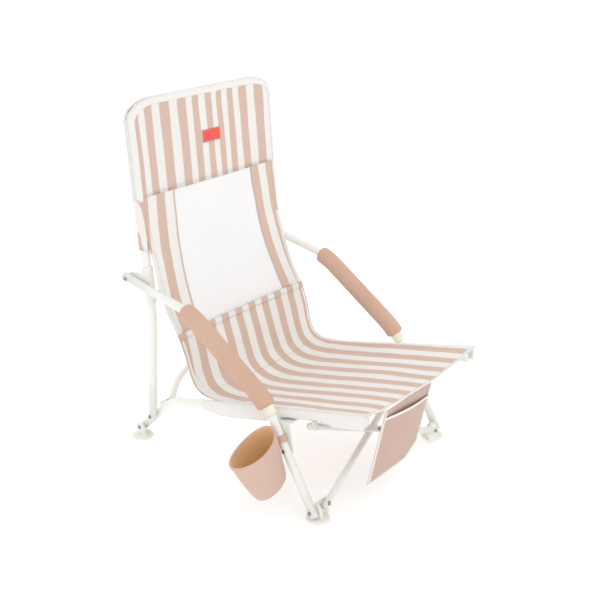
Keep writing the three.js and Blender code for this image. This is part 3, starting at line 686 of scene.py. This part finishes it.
def sling_along():
    """The distance in millimetres down the middle of the sling to each twentieth of a knot."""
    marks, last = [0.0], sling_point(0, 0)
    for j in range(1, int(LAST_KNOT) * 20 + 1):
        here = sling_point(0, j / 20)
        marks.append(marks[-1] + (here - last).length)
        last = here
    return marks


ALONG = sling_along()


def length_at(k):
    s = min(max(k * 20, 0.0), len(ALONG) - 1.001)
    return ALONG[int(s)] + (ALONG[int(s) + 1] - ALONG[int(s)]) * (s - int(s))


# %% [markdown]
# ## Cloth between the sides
# When the chair folds its sides come together, and the cloth between them crumples. Nothing here squashes the
# cloth for that: a piece on a body that spans the sides only gets its own copy of its mesh.

# %% Cloth helpers
SPAN_HALF = {"upright_right": UPRIGHT_X, "rail_right": RAIL_X}


def squash_between(piece, body):
    """Gives a piece that spans the sides its own copy of its mesh; it is not squashed. Pieces on any other
    body only ride.
    """
    if body in SPAN_HALF:
        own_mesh(piece)


def make_cloth(name, points, faces, material, body, maps, depth=0.9):
    piece = make_piece(name, points, faces, material, body, maps)
    thicken(piece, depth)
    squash_between(piece, body)
    return piece


def sheet_piece(name, us, ks, material, body, stripe_of, lift=0.0, depth=0.9):
    """A grid over part of the sling: us(k) lists its columns at knot k."""
    points, stripes, weave = [], [], []
    for k in ks:
        for u in us(k):
            p = sling_point(u, k, lift)
            points.append(p)
            stripes.append((stripe_of(p.x, k), 0.5))
            weave.append((p.x * MM, length_at(k) * MM))
    faces = grid_faces(len(ks), len(us(ks[0])))
    return make_cloth(name, points, faces, material, body, {"stripe": stripes, "weave": weave}, depth)


def spaced(a, b, count):
    return [a + (b - a) * i / (count - 1) for i in range(count)]


# %% [markdown]
# ## Back: two striped strips and a net window
# The window is wider at its foot, so the strips narrow downwards and their stripes follow the window's
# edge.

# %% Back strips and window
WINDOW_TOP, WINDOW_FOOT = 120.0, 140.0
WINDOW_HEM = 7.0


def window_half(k):
    return WINDOW_TOP + (WINDOW_FOOT - WINDOW_TOP) * k / HEM_KNOT


def right_hand_stripe(x, k):
    return (-x - window_half(k) - 39) / 46


def left_hand_stripe(x, k):
    return (x - window_half(k) - 13) / 54


back_rows = spaced(0.0, HEM_KNOT + 0.12, 76)
for side_name, side in SIDES.items():
    stripe_of = right_hand_stripe if side < 0 else left_hand_stripe

    def columns(k, side=side):
        start = window_half(k) / knot_value(k)[4]
        return [side * u for u in spaced(start, 1.0, 22)][::side]

    strip = sheet_piece(f"back_strip_{side_name}", columns, back_rows, STRIPED, "upright_right", stripe_of)
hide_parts("back_panel")


def window_columns(k):
    edge = (window_half(k) + WINDOW_HEM) / knot_value(k)[4]
    return spaced(-edge, edge, 60)


def no_stripe(x, k):
    return 0.0


net = sheet_piece(
    "window_net", window_columns, back_rows, NET, "upright_right", no_stripe, -1.4, 0.5
)
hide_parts("mesh_window")

# %% [markdown]
# ## Seat
# The seat cloth starts at a doubled hem that lies over the foot of the window, turns through the crease
# and runs forward to a bound front edge. Its stripes drift a little to one side, as a cut just off the
# thread does.

# %% Seat cloth
STRIPE_PITCH = 44.25
DRIFT = 32.0


def seat_stripe(x, k):
    share = max(0.0, (k - HEM_KNOT) / (LAST_KNOT - HEM_KNOT))
    return (x + 196 + DRIFT * share) / STRIPE_PITCH


def full_width(k):
    return spaced(-1.0, 1.0, 112)


# The cloth under the crease turns with the seat rails when the chair folds, and the part above it stays
# with the back.
CREASE_KNOT = 9.5
lumbar_rows = spaced(HEM_KNOT - 0.05, CREASE_KNOT, 50)
lumbar = sheet_piece("lumbar_cloth", full_width, lumbar_rows, STRIPED, "upright_right", seat_stripe, lift=1.2)
seat_rows = spaced(CREASE_KNOT, LAST_KNOT, 80)
seat = sheet_piece("seat_cloth", full_width, seat_rows, STRIPED, "rail_right", seat_stripe, lift=1.2)
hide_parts("seat_sling")
hem_rows = spaced(HEM_KNOT - 0.12, HEM_KNOT + 0.16, 5)
hem = sheet_piece("lumbar_hem", full_width, hem_rows, HEAD_STRIPED, "upright_right", seat_stripe, 3.0)


# %% [markdown]
# ## Headrest
# The headrest is a pouch that drops over the tops of the uprights. It is fat where it wraps the tubes and
# thin between them, its top corners are round, and its mouth is closed by a double row of stitching. It
# is made as a front sheet and a back sheet whose distance from the middle surface falls to nothing at the
# outline.

# %% Headrest pouch
HEAD_HALF, HEAD_TOP, HEAD_FOOT = 217.5, 765.5, 564.0
SHOULDER_Z, SHOULDER_X = 724.0, 145.0
EDGE_ROUND, EDGE_FAT, MIDDLE_FAT = 14.0, 12.0, 3.5
HEAD_STRIPES = [-201, -166, -117, -64, -25, 14, 48, 81, 121, 174, 225]


def head_half(z):
    if z <= SHOULDER_Z:
        return HEAD_HALF
    lift = min(1.0, (z - SHOULDER_Z) / (HEAD_TOP - SHOULDER_Z))
    return SHOULDER_X + (HEAD_HALF - SHOULDER_X) * math.sqrt(max(0.0, 1 - lift**2))


def head_outline(steps=24):
    right = [(HEAD_HALF, z) for z in spaced(HEAD_FOOT, SHOULDER_Z, 30)]
    for i in range(1, steps + 1):
        a = math.pi / 2 * i / steps
        x = SHOULDER_X + (HEAD_HALF - SHOULDER_X) * math.cos(a)
        right.append((x, SHOULDER_Z + (HEAD_TOP - SHOULDER_Z) * math.sin(a)))
    top = [(x, HEAD_TOP) for x in spaced(SHOULDER_X, -SHOULDER_X, 36)][1:-1]
    return right + top + [(-x, z) for x, z in reversed(right)]


OUTLINE = head_outline()


def edge_distance(x, z):
    best = 1e9
    for (ax, az), (bx, bz) in zip(OUTLINE, OUTLINE[1:]):
        dx, dz = bx - ax, bz - az
        t = min(1.0, max(0.0, ((x - ax) * dx + (z - az) * dz) / (dx * dx + dz * dz)))
        best = min(best, math.hypot(x - ax - dx * t, z - az - dz * t))
    return best


def head_point(x, z, front=True, lift=0.0):
    d = edge_distance(x, z)
    round_over = math.sqrt(max(0.0, 1 - (1 - min(d, EDGE_ROUND) / EDGE_ROUND) ** 2))
    across = min(1.0, abs(x) / UPRIGHT_X)
    fat = MIDDLE_FAT + (EDGE_FAT - MIDDLE_FAT) * across**3
    wave = noise.noise(Vector((x / 42, z / 90, 5.0))) * 1.9
    wave += noise.noise(Vector((x / 17, z / 45, 2.0))) * 0.6
    wave += 1.6 * math.exp(-((z - HEAD_TOP + 40) / 34) ** 2) * math.sin(x / 9.5) * min(1.0, d / 20)
    sag = 9.0 * (1 - across**2)
    middle = upright_y(z) - (0 if z < 742 else (z - 742) * 0.1)
    depth = (fat + wave * 0.8 + lift) * round_over + (lift if d < 1 else 0) * (1 - round_over)
    sign = -1 if front else 1
    return Vector((x, middle + sign * depth - (sag * 0.35 if front else 0.0) * round_over, z))


def head_stripe(x):
    i = min(max(bisect.bisect_right(HEAD_STRIPES, x) - 1, 0), len(HEAD_STRIPES) - 2)
    return i + (x - HEAD_STRIPES[i]) / (HEAD_STRIPES[i + 1] - HEAD_STRIPES[i])


HEAD_ROWS = spaced(HEAD_FOOT, SHOULDER_Z, 40) + [
    SHOULDER_Z + (HEAD_TOP - SHOULDER_Z) * math.sin(math.pi / 2 * i / 22) for i in range(1, 23)
]


def head_sheet(name, front):
    points, stripes, weave = [], [], []
    columns = 110
    for z in HEAD_ROWS:
        half = head_half(z)
        for i in range(columns):
            # Columns crowd towards the edges, where the cloth turns round the tube.
            x = half * math.sin(math.pi / 2 * (2 * i / (columns - 1) - 1))
            points.append(head_point(x, z, front))
            stripes.append((head_stripe(x), 0.5))
            weave.append((x * MM, z * MM))
    faces = grid_faces(len(HEAD_ROWS), columns, flip=not front)
    maps = {"stripe": stripes, "weave": weave}
    piece = make_cloth(name, points, faces, HEAD_STRIPED, "upright_right", maps)
    return piece


head_front = head_sheet("headrest_front", True)
head_sheet("headrest_back", False)
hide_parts("headrest_panel")
print("headrest", 2 * HEAD_HALF, "mm wide")

# %% [markdown]
# ## Binding tape
# Every raw edge of the cloth is bound with white tape folded over it. A tape is a flat, slightly swollen
# strip that follows the edge, wrapped a little round to the back.

# %% Tape helper
def make_tape(name, edge, inward, outward, width, body, thickness):
    """edge, inward and outward list the edge's points, the ways into the cloth and off its face."""
    profile = [(width, 0.25), (width * 0.96, 0.8), (width * 0.5, 1.0), (width * 0.1, 0.9), (-0.7, 0.1)]
    profile += [(width * 0.1, -0.9), (width * 0.5, -1.0), (width * 0.96, -0.8), (width, -0.25)]
    points, maps, along = [], [], 0.0
    for i, (p, a, b) in enumerate(zip(edge, inward, outward)):
        along += (p - edge[i - 1]).length if i else 0.0
        for across, rise in profile:
            points.append(p + a * across + b * rise * thickness)
            maps.append(((across + rise) * MM, along * MM))
    faces = rod_faces(len(edge), len(profile))
    squash_between(make_piece(name, points, faces, BINDING, body, {"weave": maps}), body)


def edge_directions(path):
    return [(path[min(i + 1, len(path) - 1)] - path[max(i - 1, 0)]).normalized() for i in range(len(path))]


# %% Headrest, side and front tapes
TAPE_WIDE = 13.0
TAPE_SHARES = [-0.09, -0.05, 0.02, 0.06, 0.15, 0.3, 0.5, 0.7, 0.85, 0.94, 1.0]


def head_tape(name, front):
    """A band of tape that lies on the pouch's face along its outline."""
    flat = [Vector((x, 0, z)) for x, z in OUTLINE]
    ways = [Vector((-a.z, 0, a.x)).normalized() for a in edge_directions(flat)]
    points, weave, along = [], [], 0.0
    for i, (p, way) in enumerate(zip(flat, ways)):
        along += (p - flat[i - 1]).length if i else 0.0
        for share in TAPE_SHARES:
            q = p + way * share * TAPE_WIDE
            swell = 1.1 * math.sqrt(max(0.0, 1 - (2 * share - 1) ** 4))
            points.append(head_point(q.x, q.z, front, 0.5 + swell))
            weave.append((share * TAPE_WIDE * MM, along * MM))
    faces = grid_faces(len(flat), len(TAPE_SHARES), flip=front)
    make_cloth(name, points, faces, BINDING, "upright_right", {"weave": weave}, 0.8)


head_tape("headrest_tape_front", True)
head_tape("headrest_tape_back", False)


def side_tape(name, side, k0, k1, count, body, width):
    ks = spaced(k0, k1, count)
    edge = [sling_point(side, k, 0.6) for k in ks]
    inner = [sling_point(side * 0.97, k, 0.6) for k in ks]
    into = [(b - a).normalized() for a, b in zip(edge, inner)]
    ahead = edge_directions(edge)
    out = [(a.cross(i) * side).normalized() for a, i in zip(ahead, into)]
    make_tape(name, edge, into, out, width, body, 1.6)


for side_name, side in SIDES.items():
    side_tape(f"back_tape_{side_name}", side, 2.3, HEM_KNOT, 40, "upright_right", 12.0)
    side_tape(f"lumbar_tape_{side_name}", side, HEM_KNOT, CREASE_KNOT, 40, "upright_right", 13.0)
    side_tape(f"seat_tape_{side_name}", side, CREASE_KNOT, LAST_KNOT, 70, "rail_right", 13.0)
us = spaced(-1.0, 1.0, 80)
front_edge = [sling_point(u, LAST_KNOT, 0.8) for u in us]
front_in = [(sling_point(u, LAST_KNOT - 0.1, 0.8) - p).normalized() for u, p in zip(us, front_edge)]
FRONT_UP = Vector((0, -0.23, 0.97))
front_out = [FRONT_UP] * len(us)
make_tape("front_tape", front_edge, front_in, front_out, 10.0, "rail_right", 1.7)

# %% [markdown]
# ## Sleeves
# The sling's sides are sewn into sleeves. A sleeve wraps its tube loosely, so it is an uneven tube a few
# millimetres larger, creased across where the cloth pulls. The seat's sleeves stop short of the rail hub,
# which slides there.

# %% Sleeves
SLEEVE_R = 12.6


def sleeve(name, side, line, x, body, lower, stripe_of):
    path = [(side * x, p[0], p[1]) for p in line]

    def profile(angle, i):
        crease = noise.noise(Vector((i * 0.33, math.cos(angle) * 1.5, math.sin(angle) * 1.5 + side)))
        hang = lower * max(0.0, -math.sin(angle)) ** 2
        return 1.0 + 0.07 * crease + hang

    tube = make_tube(name, path, SLEEVE_R, STRIPED, body, 32, profile)
    mesh = tube.data
    layer = mesh.uv_layers.new(name="stripe")
    for loop in mesh.loops:
        at = mesh.vertices[loop.vertex_index].co / MM
        layer.data[loop.index].uv = (stripe_of(at.x - MIDDLE_X / MM, at.z), 0.5)
    return tube


def plain(x, z):
    return 0.5


def right_sleeve_stripe(x, z):
    """The strip's outermost stripe runs on to the sleeve and narrows downwards."""
    start = 0.74
    narrowing = 1 + 2 * max(0.0, 566 - z) / 100
    return start + (right_hand_stripe(x, (572 - z) / 51) - start) * narrowing


def left_sleeve_stripe(x, z):
    """Only the sleeve's innermost quarter still carries the strip's last stripe."""
    return 1.0 + max(0.0, left_hand_stripe(x, (572 - z) / 51) - 1.0) * 1.35


back_sleeve_line = [(upright_y(z) + 0.4, z) for z in spaced(462, 570, 30)]
seat_sleeve_line = [(y, rail_z(y) - 1.0) for y in spaced(78, -108, 48)]
front_sleeve_line = [(y, rail_z(y) - 0.5) for y in spaced(-206, -303, 26)]
for side_name, side in SIDES.items():
    stripe_of = right_sleeve_stripe if side < 0 else left_sleeve_stripe
    upright, rail = f"upright_{side_name}", f"rail_{side_name}"
    back_sleeve = sleeve(
        f"back_sleeve_{side_name}", side, back_sleeve_line, UPRIGHT_X, upright, 0.0, stripe_of
    )
    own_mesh(back_sleeve)
    sleeve(f"seat_sleeve_{side_name}", side, seat_sleeve_line, RAIL_X, rail, 0.45, plain)
    sleeve(f"front_sleeve_{side_name}", side, front_sleeve_line, RAIL_X, rail, 0.3, plain)
print("sleeves made, radius", SLEEVE_R, "mm")

# %% Side flaps
# Outside each rail the cloth turns down, deepest where nothing is pinned to the rail.
FLAP_TOP_X, FLAP_X = 197.0, 200.0
SADDLE_REACH = (-212.0, -100.0)


def flap_depth(y):
    near = max(SADDLE_REACH[0] - y, y - SADDLE_REACH[1])
    share = min(1.0, max(0.0, near / 30))
    return 6.0 + 12.0 * share * min(1.0, max(0.15, (110 - y) / 60))


for side_name, side in SIDES.items():
    points, weave = [], []
    for y in spaced(104, -312, 120):
        high = rail_z(y) + 15.0
        low = rail_z(y) - flap_depth(y)
        for i in range(9):
            share = i / 8
            wave = noise.noise(Vector((y / 24, share * 1.5, side * 3.0))) * 1.5 * share
            bow = 2.4 * math.sin(math.pi * share)
            x = side * (FLAP_TOP_X + (FLAP_X - FLAP_TOP_X) * min(1.0, share * 2) + bow + wave)
            points.append(Vector((x, y, high + (low - high) * share)))
            weave.append((y * MM, share * 0.03))
    faces, rail = grid_faces(120, 9), f"rail_{side_name}"
    flap = make_piece(f"side_flap_{side_name}", points, faces, BINDING, rail, {"weave": weave})
    thicken(flap, 0.9)

# %% [markdown]
# ## Label
# A plain red patch is sewn to the headrest. It carries no words.

# %% Label
LABEL_AT, LABEL_SIZE = (14.0, 663.0), (54.0, 26.0)
label_points, label_maps = [], []
for j in range(9):
    for i in range(15):
        x = LABEL_AT[0] + LABEL_SIZE[0] * (i / 14 - 0.5)
        z = LABEL_AT[1] + LABEL_SIZE[1] * (j / 8 - 0.5)
        label_points.append(head_point(x, z, True, 1.6))
        label_maps.append((x * MM, z * MM))
faces = grid_faces(9, 15)
label = make_cloth(
    "label", label_points, faces, LABEL_RED, "upright_right", {"weave": label_maps}
)
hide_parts("label_patch")

# %% [markdown]
# ## Pocket
# A flat pocket hangs from the seat's front edge: a short flap strip above its mouth, a panel that bellies
# forward a little, and white tape all round. Its outer lower corner is cut off.

# %% Pocket
POCKET_TOP = Vector((0, -317, 241))
POCKET_DOWN = Vector((0, 37, -174)).normalized()
POCKET_OUT = Vector((0, -0.978, -0.208))
POCKET_LEFT, POCKET_RIGHT, POCKET_LONG, POCKET_CLIP = -138.0, 24.0, 178.0, 32.0
MOUTH_LEFT, MOUTH_RIGHT = 15.0, 30.0


def pocket_point(x, v, out=0.0):
    return Vector((x, 0, 0)) + POCKET_TOP + POCKET_DOWN * v + POCKET_OUT * out


def pocket_right(v):
    return POCKET_RIGHT - max(0.0, v - (POCKET_LONG - POCKET_CLIP))


def pocket_mouth(x):
    return MOUTH_LEFT + (MOUTH_RIGHT - MOUTH_LEFT) * (x - POCKET_LEFT) / (POCKET_RIGHT - POCKET_LEFT)


def pocket_panel(name, top_of, bulge, lift):
    points, maps, rows, columns = [], [], 40, 34
    for j in range(rows):
        for i in range(columns):
            x0 = POCKET_LEFT + (POCKET_RIGHT - POCKET_LEFT) * i / (columns - 1)
            v = top_of(x0) + (POCKET_LONG - top_of(x0)) * j / (rows - 1)
            share = (pocket_right(v) - POCKET_LEFT) / (POCKET_RIGHT - POCKET_LEFT)
            x = POCKET_LEFT + (x0 - POCKET_LEFT) * share
            belly = math.sin(math.pi * i / (columns - 1))
            belly *= math.sin(math.pi * min(1.0, 0.25 + 0.75 * j / (rows - 1)))
            wave = noise.noise(Vector((x / 40, v / 60, 12.0))) * 1.6
            points.append(pocket_point(x, v, lift + bulge * belly + wave * min(1.0, 4 * belly)))
            maps.append((x * MM, v * MM))
    faces = grid_faces(rows, columns, flip=True)
    piece = make_cloth(name, points, faces, POCKET, "rail_right", {"weave": maps}, 0.8)
    return piece


pocket_panel("pocket_back", lambda x: 0.0, 0.0, 0.0)
pocket_front = pocket_panel("pocket_front", pocket_mouth, 7.0, 1.6)
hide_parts("front_pocket")
mouth_xs = spaced(POCKET_LEFT, POCKET_RIGHT, 30)
mouth_edge = [
    pocket_point(x, pocket_mouth(x), 2.4 + 5.0 * math.sin(math.pi * i / 29)) for i, x in enumerate(mouth_xs)
]
mouth_in, mouth_out = [POCKET_DOWN] * 30, [POCKET_OUT] * 30
make_tape("pocket_mouth_tape", mouth_edge, mouth_in, mouth_out, 5.0, "rail_right", 1.2)
rim = [(POCKET_LEFT, v) for v in spaced(0, POCKET_LONG, 24)]
rim += [(x, POCKET_LONG) for x in spaced(POCKET_LEFT, POCKET_RIGHT - POCKET_CLIP, 18)[1:]]
rim += [(POCKET_RIGHT - POCKET_CLIP + c, POCKET_LONG - c) for c in spaced(0, POCKET_CLIP, 8)[1:]]
rim += [(POCKET_RIGHT, v) for v in spaced(POCKET_LONG - POCKET_CLIP, 0, 20)[1:]]
rim_edge = [pocket_point(x, v, 1.0) for x, v in rim]
rim_in = [POCKET_OUT.cross(a).normalized() for a in edge_directions(rim_edge)]
make_tape("pocket_tape", rim_edge, rim_in, [POCKET_OUT] * len(rim), 4.5, "rail_right", 1.6)

# %% [markdown]
# ## Cup holder
# The cup is a cone of doubled cloth with a stiff rim, pinched flatter across the chair's length. It has a
# tan lining, a rolled rim, a side seam and a strap round the leg.

# %% Cup holder
CUP_RIM, CUP_BASE = Vector((-300, -124, 166)), Vector((-264, -140, 68))
CUP_AXIS = (CUP_RIM - CUP_BASE).normalized()
CUP_HIGH = (CUP_RIM - CUP_BASE).length
CUP_ACROSS = (Vector((1, 0, 0)) - CUP_AXIS * CUP_AXIS.x).normalized()
CUP_DEEP = CUP_ACROSS.cross(CUP_AXIS)
CUP_SQUASH, CUP_RIM_R, CUP_BASE_R = 0.62, 60.0, 40.0
CUP_ROUND = 0.10  # share of the height over which the foot is rounded
CUP_SIDES, CUP_ROWS = 72, 30


def cup_point(angle, share, inset=0.0):
    """share runs from 0 at the base to 1 at the rim."""
    belly = 1.6 * math.sin(math.pi * share)
    belly += noise.noise(Vector((math.cos(angle), math.sin(angle), share * 2))) * 1.3
    r = CUP_BASE_R + (CUP_RIM_R - CUP_BASE_R) * share + belly * (1 - share**6) - inset
    foot = 1 - min(1.0, share / CUP_ROUND)
    r -= 9.0 * (1 - math.sqrt(max(0.0, 1 - foot**2)))
    rise = CUP_HIGH * share + 2.5 * share * math.cos(2 * angle)
    across, deep = CUP_ACROSS * math.cos(angle) * r, CUP_DEEP * math.sin(angle) * r * CUP_SQUASH
    return CUP_BASE + CUP_AXIS * rise + across + deep


def cup_shell(name, inset, material, floor_share, flip):
    points, maps = [], []
    for j in range(CUP_ROWS):
        share = floor_share + (1 - floor_share) * j / (CUP_ROWS - 1)
        for i in range(CUP_SIDES):
            angle = 2 * math.pi * i / CUP_SIDES
            points.append(cup_point(angle, share, inset))
            maps.append((angle * 0.05, share * CUP_HIGH * MM))
    centre = len(points)
    points.append(CUP_BASE + CUP_AXIS * (CUP_HIGH * floor_share))
    maps.append((0, 0))
    faces = grid_faces(CUP_ROWS, CUP_SIDES, closed=True, flip=flip)
    for i in range(CUP_SIDES):
        face = (centre, (i + 1) % CUP_SIDES, i)
        faces.append(face[::-1] if flip else face)
    return make_cloth(name, points, faces, material, "arm_right", {"weave": maps}, 0.8)


cup_outside = cup_shell("cup_outside", 0.0, CUP_CLOTH, 0.01, False)
cup_lining = cup_shell("cup_lining", 2.2, CUP_LINING, 0.04, True)
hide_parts("cup_holder")
rim_path = [cup_point(2 * math.pi * i / 90, 1.0, 1.2) for i in range(90)]
rim_points, rim_maps = [], []
for i, p in enumerate(rim_path):
    outward = (p - CUP_RIM).normalized()
    for k in range(10):
        a = 2 * math.pi * k / 10
        rim_points.append(p + outward * math.cos(a) * 2.0 + CUP_AXIS * math.sin(a) * 3.2 - CUP_AXIS * 1.5)
        rim_maps.append((a * 0.003, i * 0.0035))
rim_faces = []
for i in range(90):
    for k in range(10):
        n, m = (i + 1) % 90, (k + 1) % 10
        rim_faces.append((i * 10 + k, n * 10 + k, n * 10 + m, i * 10 + m)[::-1])
make_piece("cup_rim", rim_points, rim_faces, CUP_CLOTH, "arm_right", {"weave": rim_maps})
seam_path = [cup_point(math.radians(250), s, -0.7) for s in spaced(0.02, 0.97, 24)]
make_tube("cup_seam", seam_path, 1.1, CUP_CLOTH, "arm_right", 8)

# %% Cup strap
arm_total = sum((b - a).length for a, b in zip(arm_line, arm_line[1:]))
strap_line = along_line(arm_line, arm_total - 175, arm_total - 161, 2.0)
strap_path = [(-ARM_X, p.x, p.y) for p in strap_line]
strap = make_tube("cup_strap_loop", strap_path, 11.2, CUP_CLOTH, "arm_right", 40)
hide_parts("cup_strap")

# %% [markdown]
# ## Stitching
# Stitches are short raised threads, one small bead for each, laid along the seams at an even pitch. Real
# beads catch the light at their own angle, which a bump can't do.

# %% Stitch helper
STITCH_PITCH, STITCH_LONG, STITCH_R = 4.4, 3.0, 0.42


def stitch_row(name, path, outs, body):
    """path is a list of points on the cloth's face, and outs the ways off it, or one way for all."""
    marks = [0.0]
    for a, b in zip(path, path[1:]):
        marks.append(marks[-1] + (b - a).length)
    points, faces, maps = [], [], []
    for j in range(int(marks[-1] / STITCH_PITCH)):
        s = (j + 0.5) * STITCH_PITCH
        i = min(bisect.bisect_right(marks, s) - 1, len(path) - 2)
        t = (s - marks[i]) / max(1e-6, marks[i + 1] - marks[i])
        centre = path[i].lerp(path[i + 1], t)
        ahead = (path[i + 1] - path[i]).normalized()
        out = outs if isinstance(outs, Vector) else outs[i]
        out = (out - ahead * out.dot(ahead)).normalized()
        side = ahead.cross(out)
        first = len(points)
        for at, r in ((-0.5, 0.25), (-0.3, 0.95), (0.0, 1.1), (0.3, 0.95), (0.5, 0.25)):
            arch = 0.35 * (1 - (2 * at) ** 2)
            for q in range(6):
                a = math.pi * q / 3
                step = side * math.cos(a) * STITCH_R * r + out * (math.sin(a) * STITCH_R * r + arch)
                points.append(centre + ahead * at * STITCH_LONG + step)
                maps.append((a * STITCH_R * MM, at * STITCH_LONG * MM))
        faces += rod_faces(5, 6, first)
    squash_between(make_piece(name, points, faces, THREAD, body, {"weave": maps}), body)


# %% Stitch rows
FACE_OUT, BACK_OUT, HEM_OUT = Vector((0, -1, 0)), Vector((0, -0.97, 0.24)), Vector((0, -0.93, 0.36))
for row, z in enumerate((569.0, 576.0)):
    xs = spaced(-204, 204, 120)
    path = [head_point(x, z, True, 1.0) for x in xs]
    stitch_row(f"head_seam_stitches_{row}", path, FACE_OUT, "upright_right")
for row, k in enumerate((HEM_KNOT - 0.08, HEM_KNOT + 0.11)):
    us = spaced(-0.97, 0.97, 120)
    path = [sling_point(u, k, 3.4) for u in us]
    stitch_row(f"hem_stitches_{row}", path, HEM_OUT, "upright_right")
us = spaced(-0.97, 0.97, 120)
path = [sling_point(u, LAST_KNOT - 0.19, 2.6) for u in us]
stitch_row("front_stitches", path, FRONT_UP, "rail_right")
for side_name, side in SIDES.items():
    runs = (("lumbar", HEM_KNOT + 0.3, CREASE_KNOT - 0.05, "upright_right"),)
    runs += (("seat", CREASE_KNOT + 0.05, LAST_KNOT - 0.3, "rail_right"),)
    for run_name, k0, k1, body in runs:
        ks = spaced(k0, k1, 90)
        path = [sling_point(side * 0.925, k, 2.0) for k in ks]
        outs = [sling_point(side * 0.925, k, 4.0) - p for k, p in zip(ks, path)]
        stitch_row(f"{run_name}_side_stitches_{side_name}", path, outs, body)
    ks = spaced(0.1, HEM_KNOT - 0.2, 120)
    for row_name, inset in (("edge", 8.5), ("window", None)):
        path = []
        for k in ks:
            half_here = knot_value(k)[4]
            u = 1 - inset / half_here if inset else (window_half(k) + 2.5) / half_here
            path.append(sling_point(side * u, k, 0.5 if row_name == "window" else 2.6))
        stitch_row(f"back_{row_name}_stitches_{side_name}", path, BACK_OUT, "upright_right")
label_rim = []
for a, b in (((-1, -1), (1, -1)), ((1, -1), (1, 1)), ((1, 1), (-1, 1)), ((-1, 1), (-1, -1))):
    for t in spaced(0, 1, 12):
        x = LABEL_AT[0] + (a[0] + (b[0] - a[0]) * t) * (LABEL_SIZE[0] / 2 - 2)
        z = LABEL_AT[1] + (a[1] + (b[1] - a[1]) * t) * (LABEL_SIZE[1] / 2 - 2)
        label_rim.append(head_point(x, z, True, 2.0))
stitch_row("label_stitches", label_rim, FACE_OUT, "upright_right")
inner_rim = [p + a * 3.2 + POCKET_OUT * 1.9 for p, a in zip(rim_edge, rim_in)]
stitch_row("pocket_stitches", inner_rim, POCKET_OUT, "rail_right")
cup_row = [cup_point(2 * math.pi * i / 120, 0.93, -0.3) for i in range(121)]
cup_outs = [(p - CUP_RIM).normalized() for p in cup_row]
stitch_row("cup_stitches", cup_row, cup_outs, "arm_right")
print("stitch rows done")

# %% [markdown]
# ## Finish
# The floor goes in last.

# %% Floor and finish
FLOOR_SIZE = 6.0
bpy.ops.mesh.primitive_plane_add(size=FLOOR_SIZE, location=(0, 0, 0))
floor = bpy.context.active_object
floor.name = "floor"
floor_material, floor_tree, floor_shader = new_material("pale floor")
floor_wear = place_group(floor_tree, WEAR, Color=(0.93, 0.93, 0.93), Faded=(0.9, 0.9, 0.9), Amount=0.3)
floor_values = {"Roughness": 0.9, "Emission Color": (1, 1, 1), "Emission Strength": 0.22}
feed_all(floor_tree, floor_shader, {"Base Color": floor_wear.outputs["Color"], **floor_values})
floor.data.materials.append(floor_material)
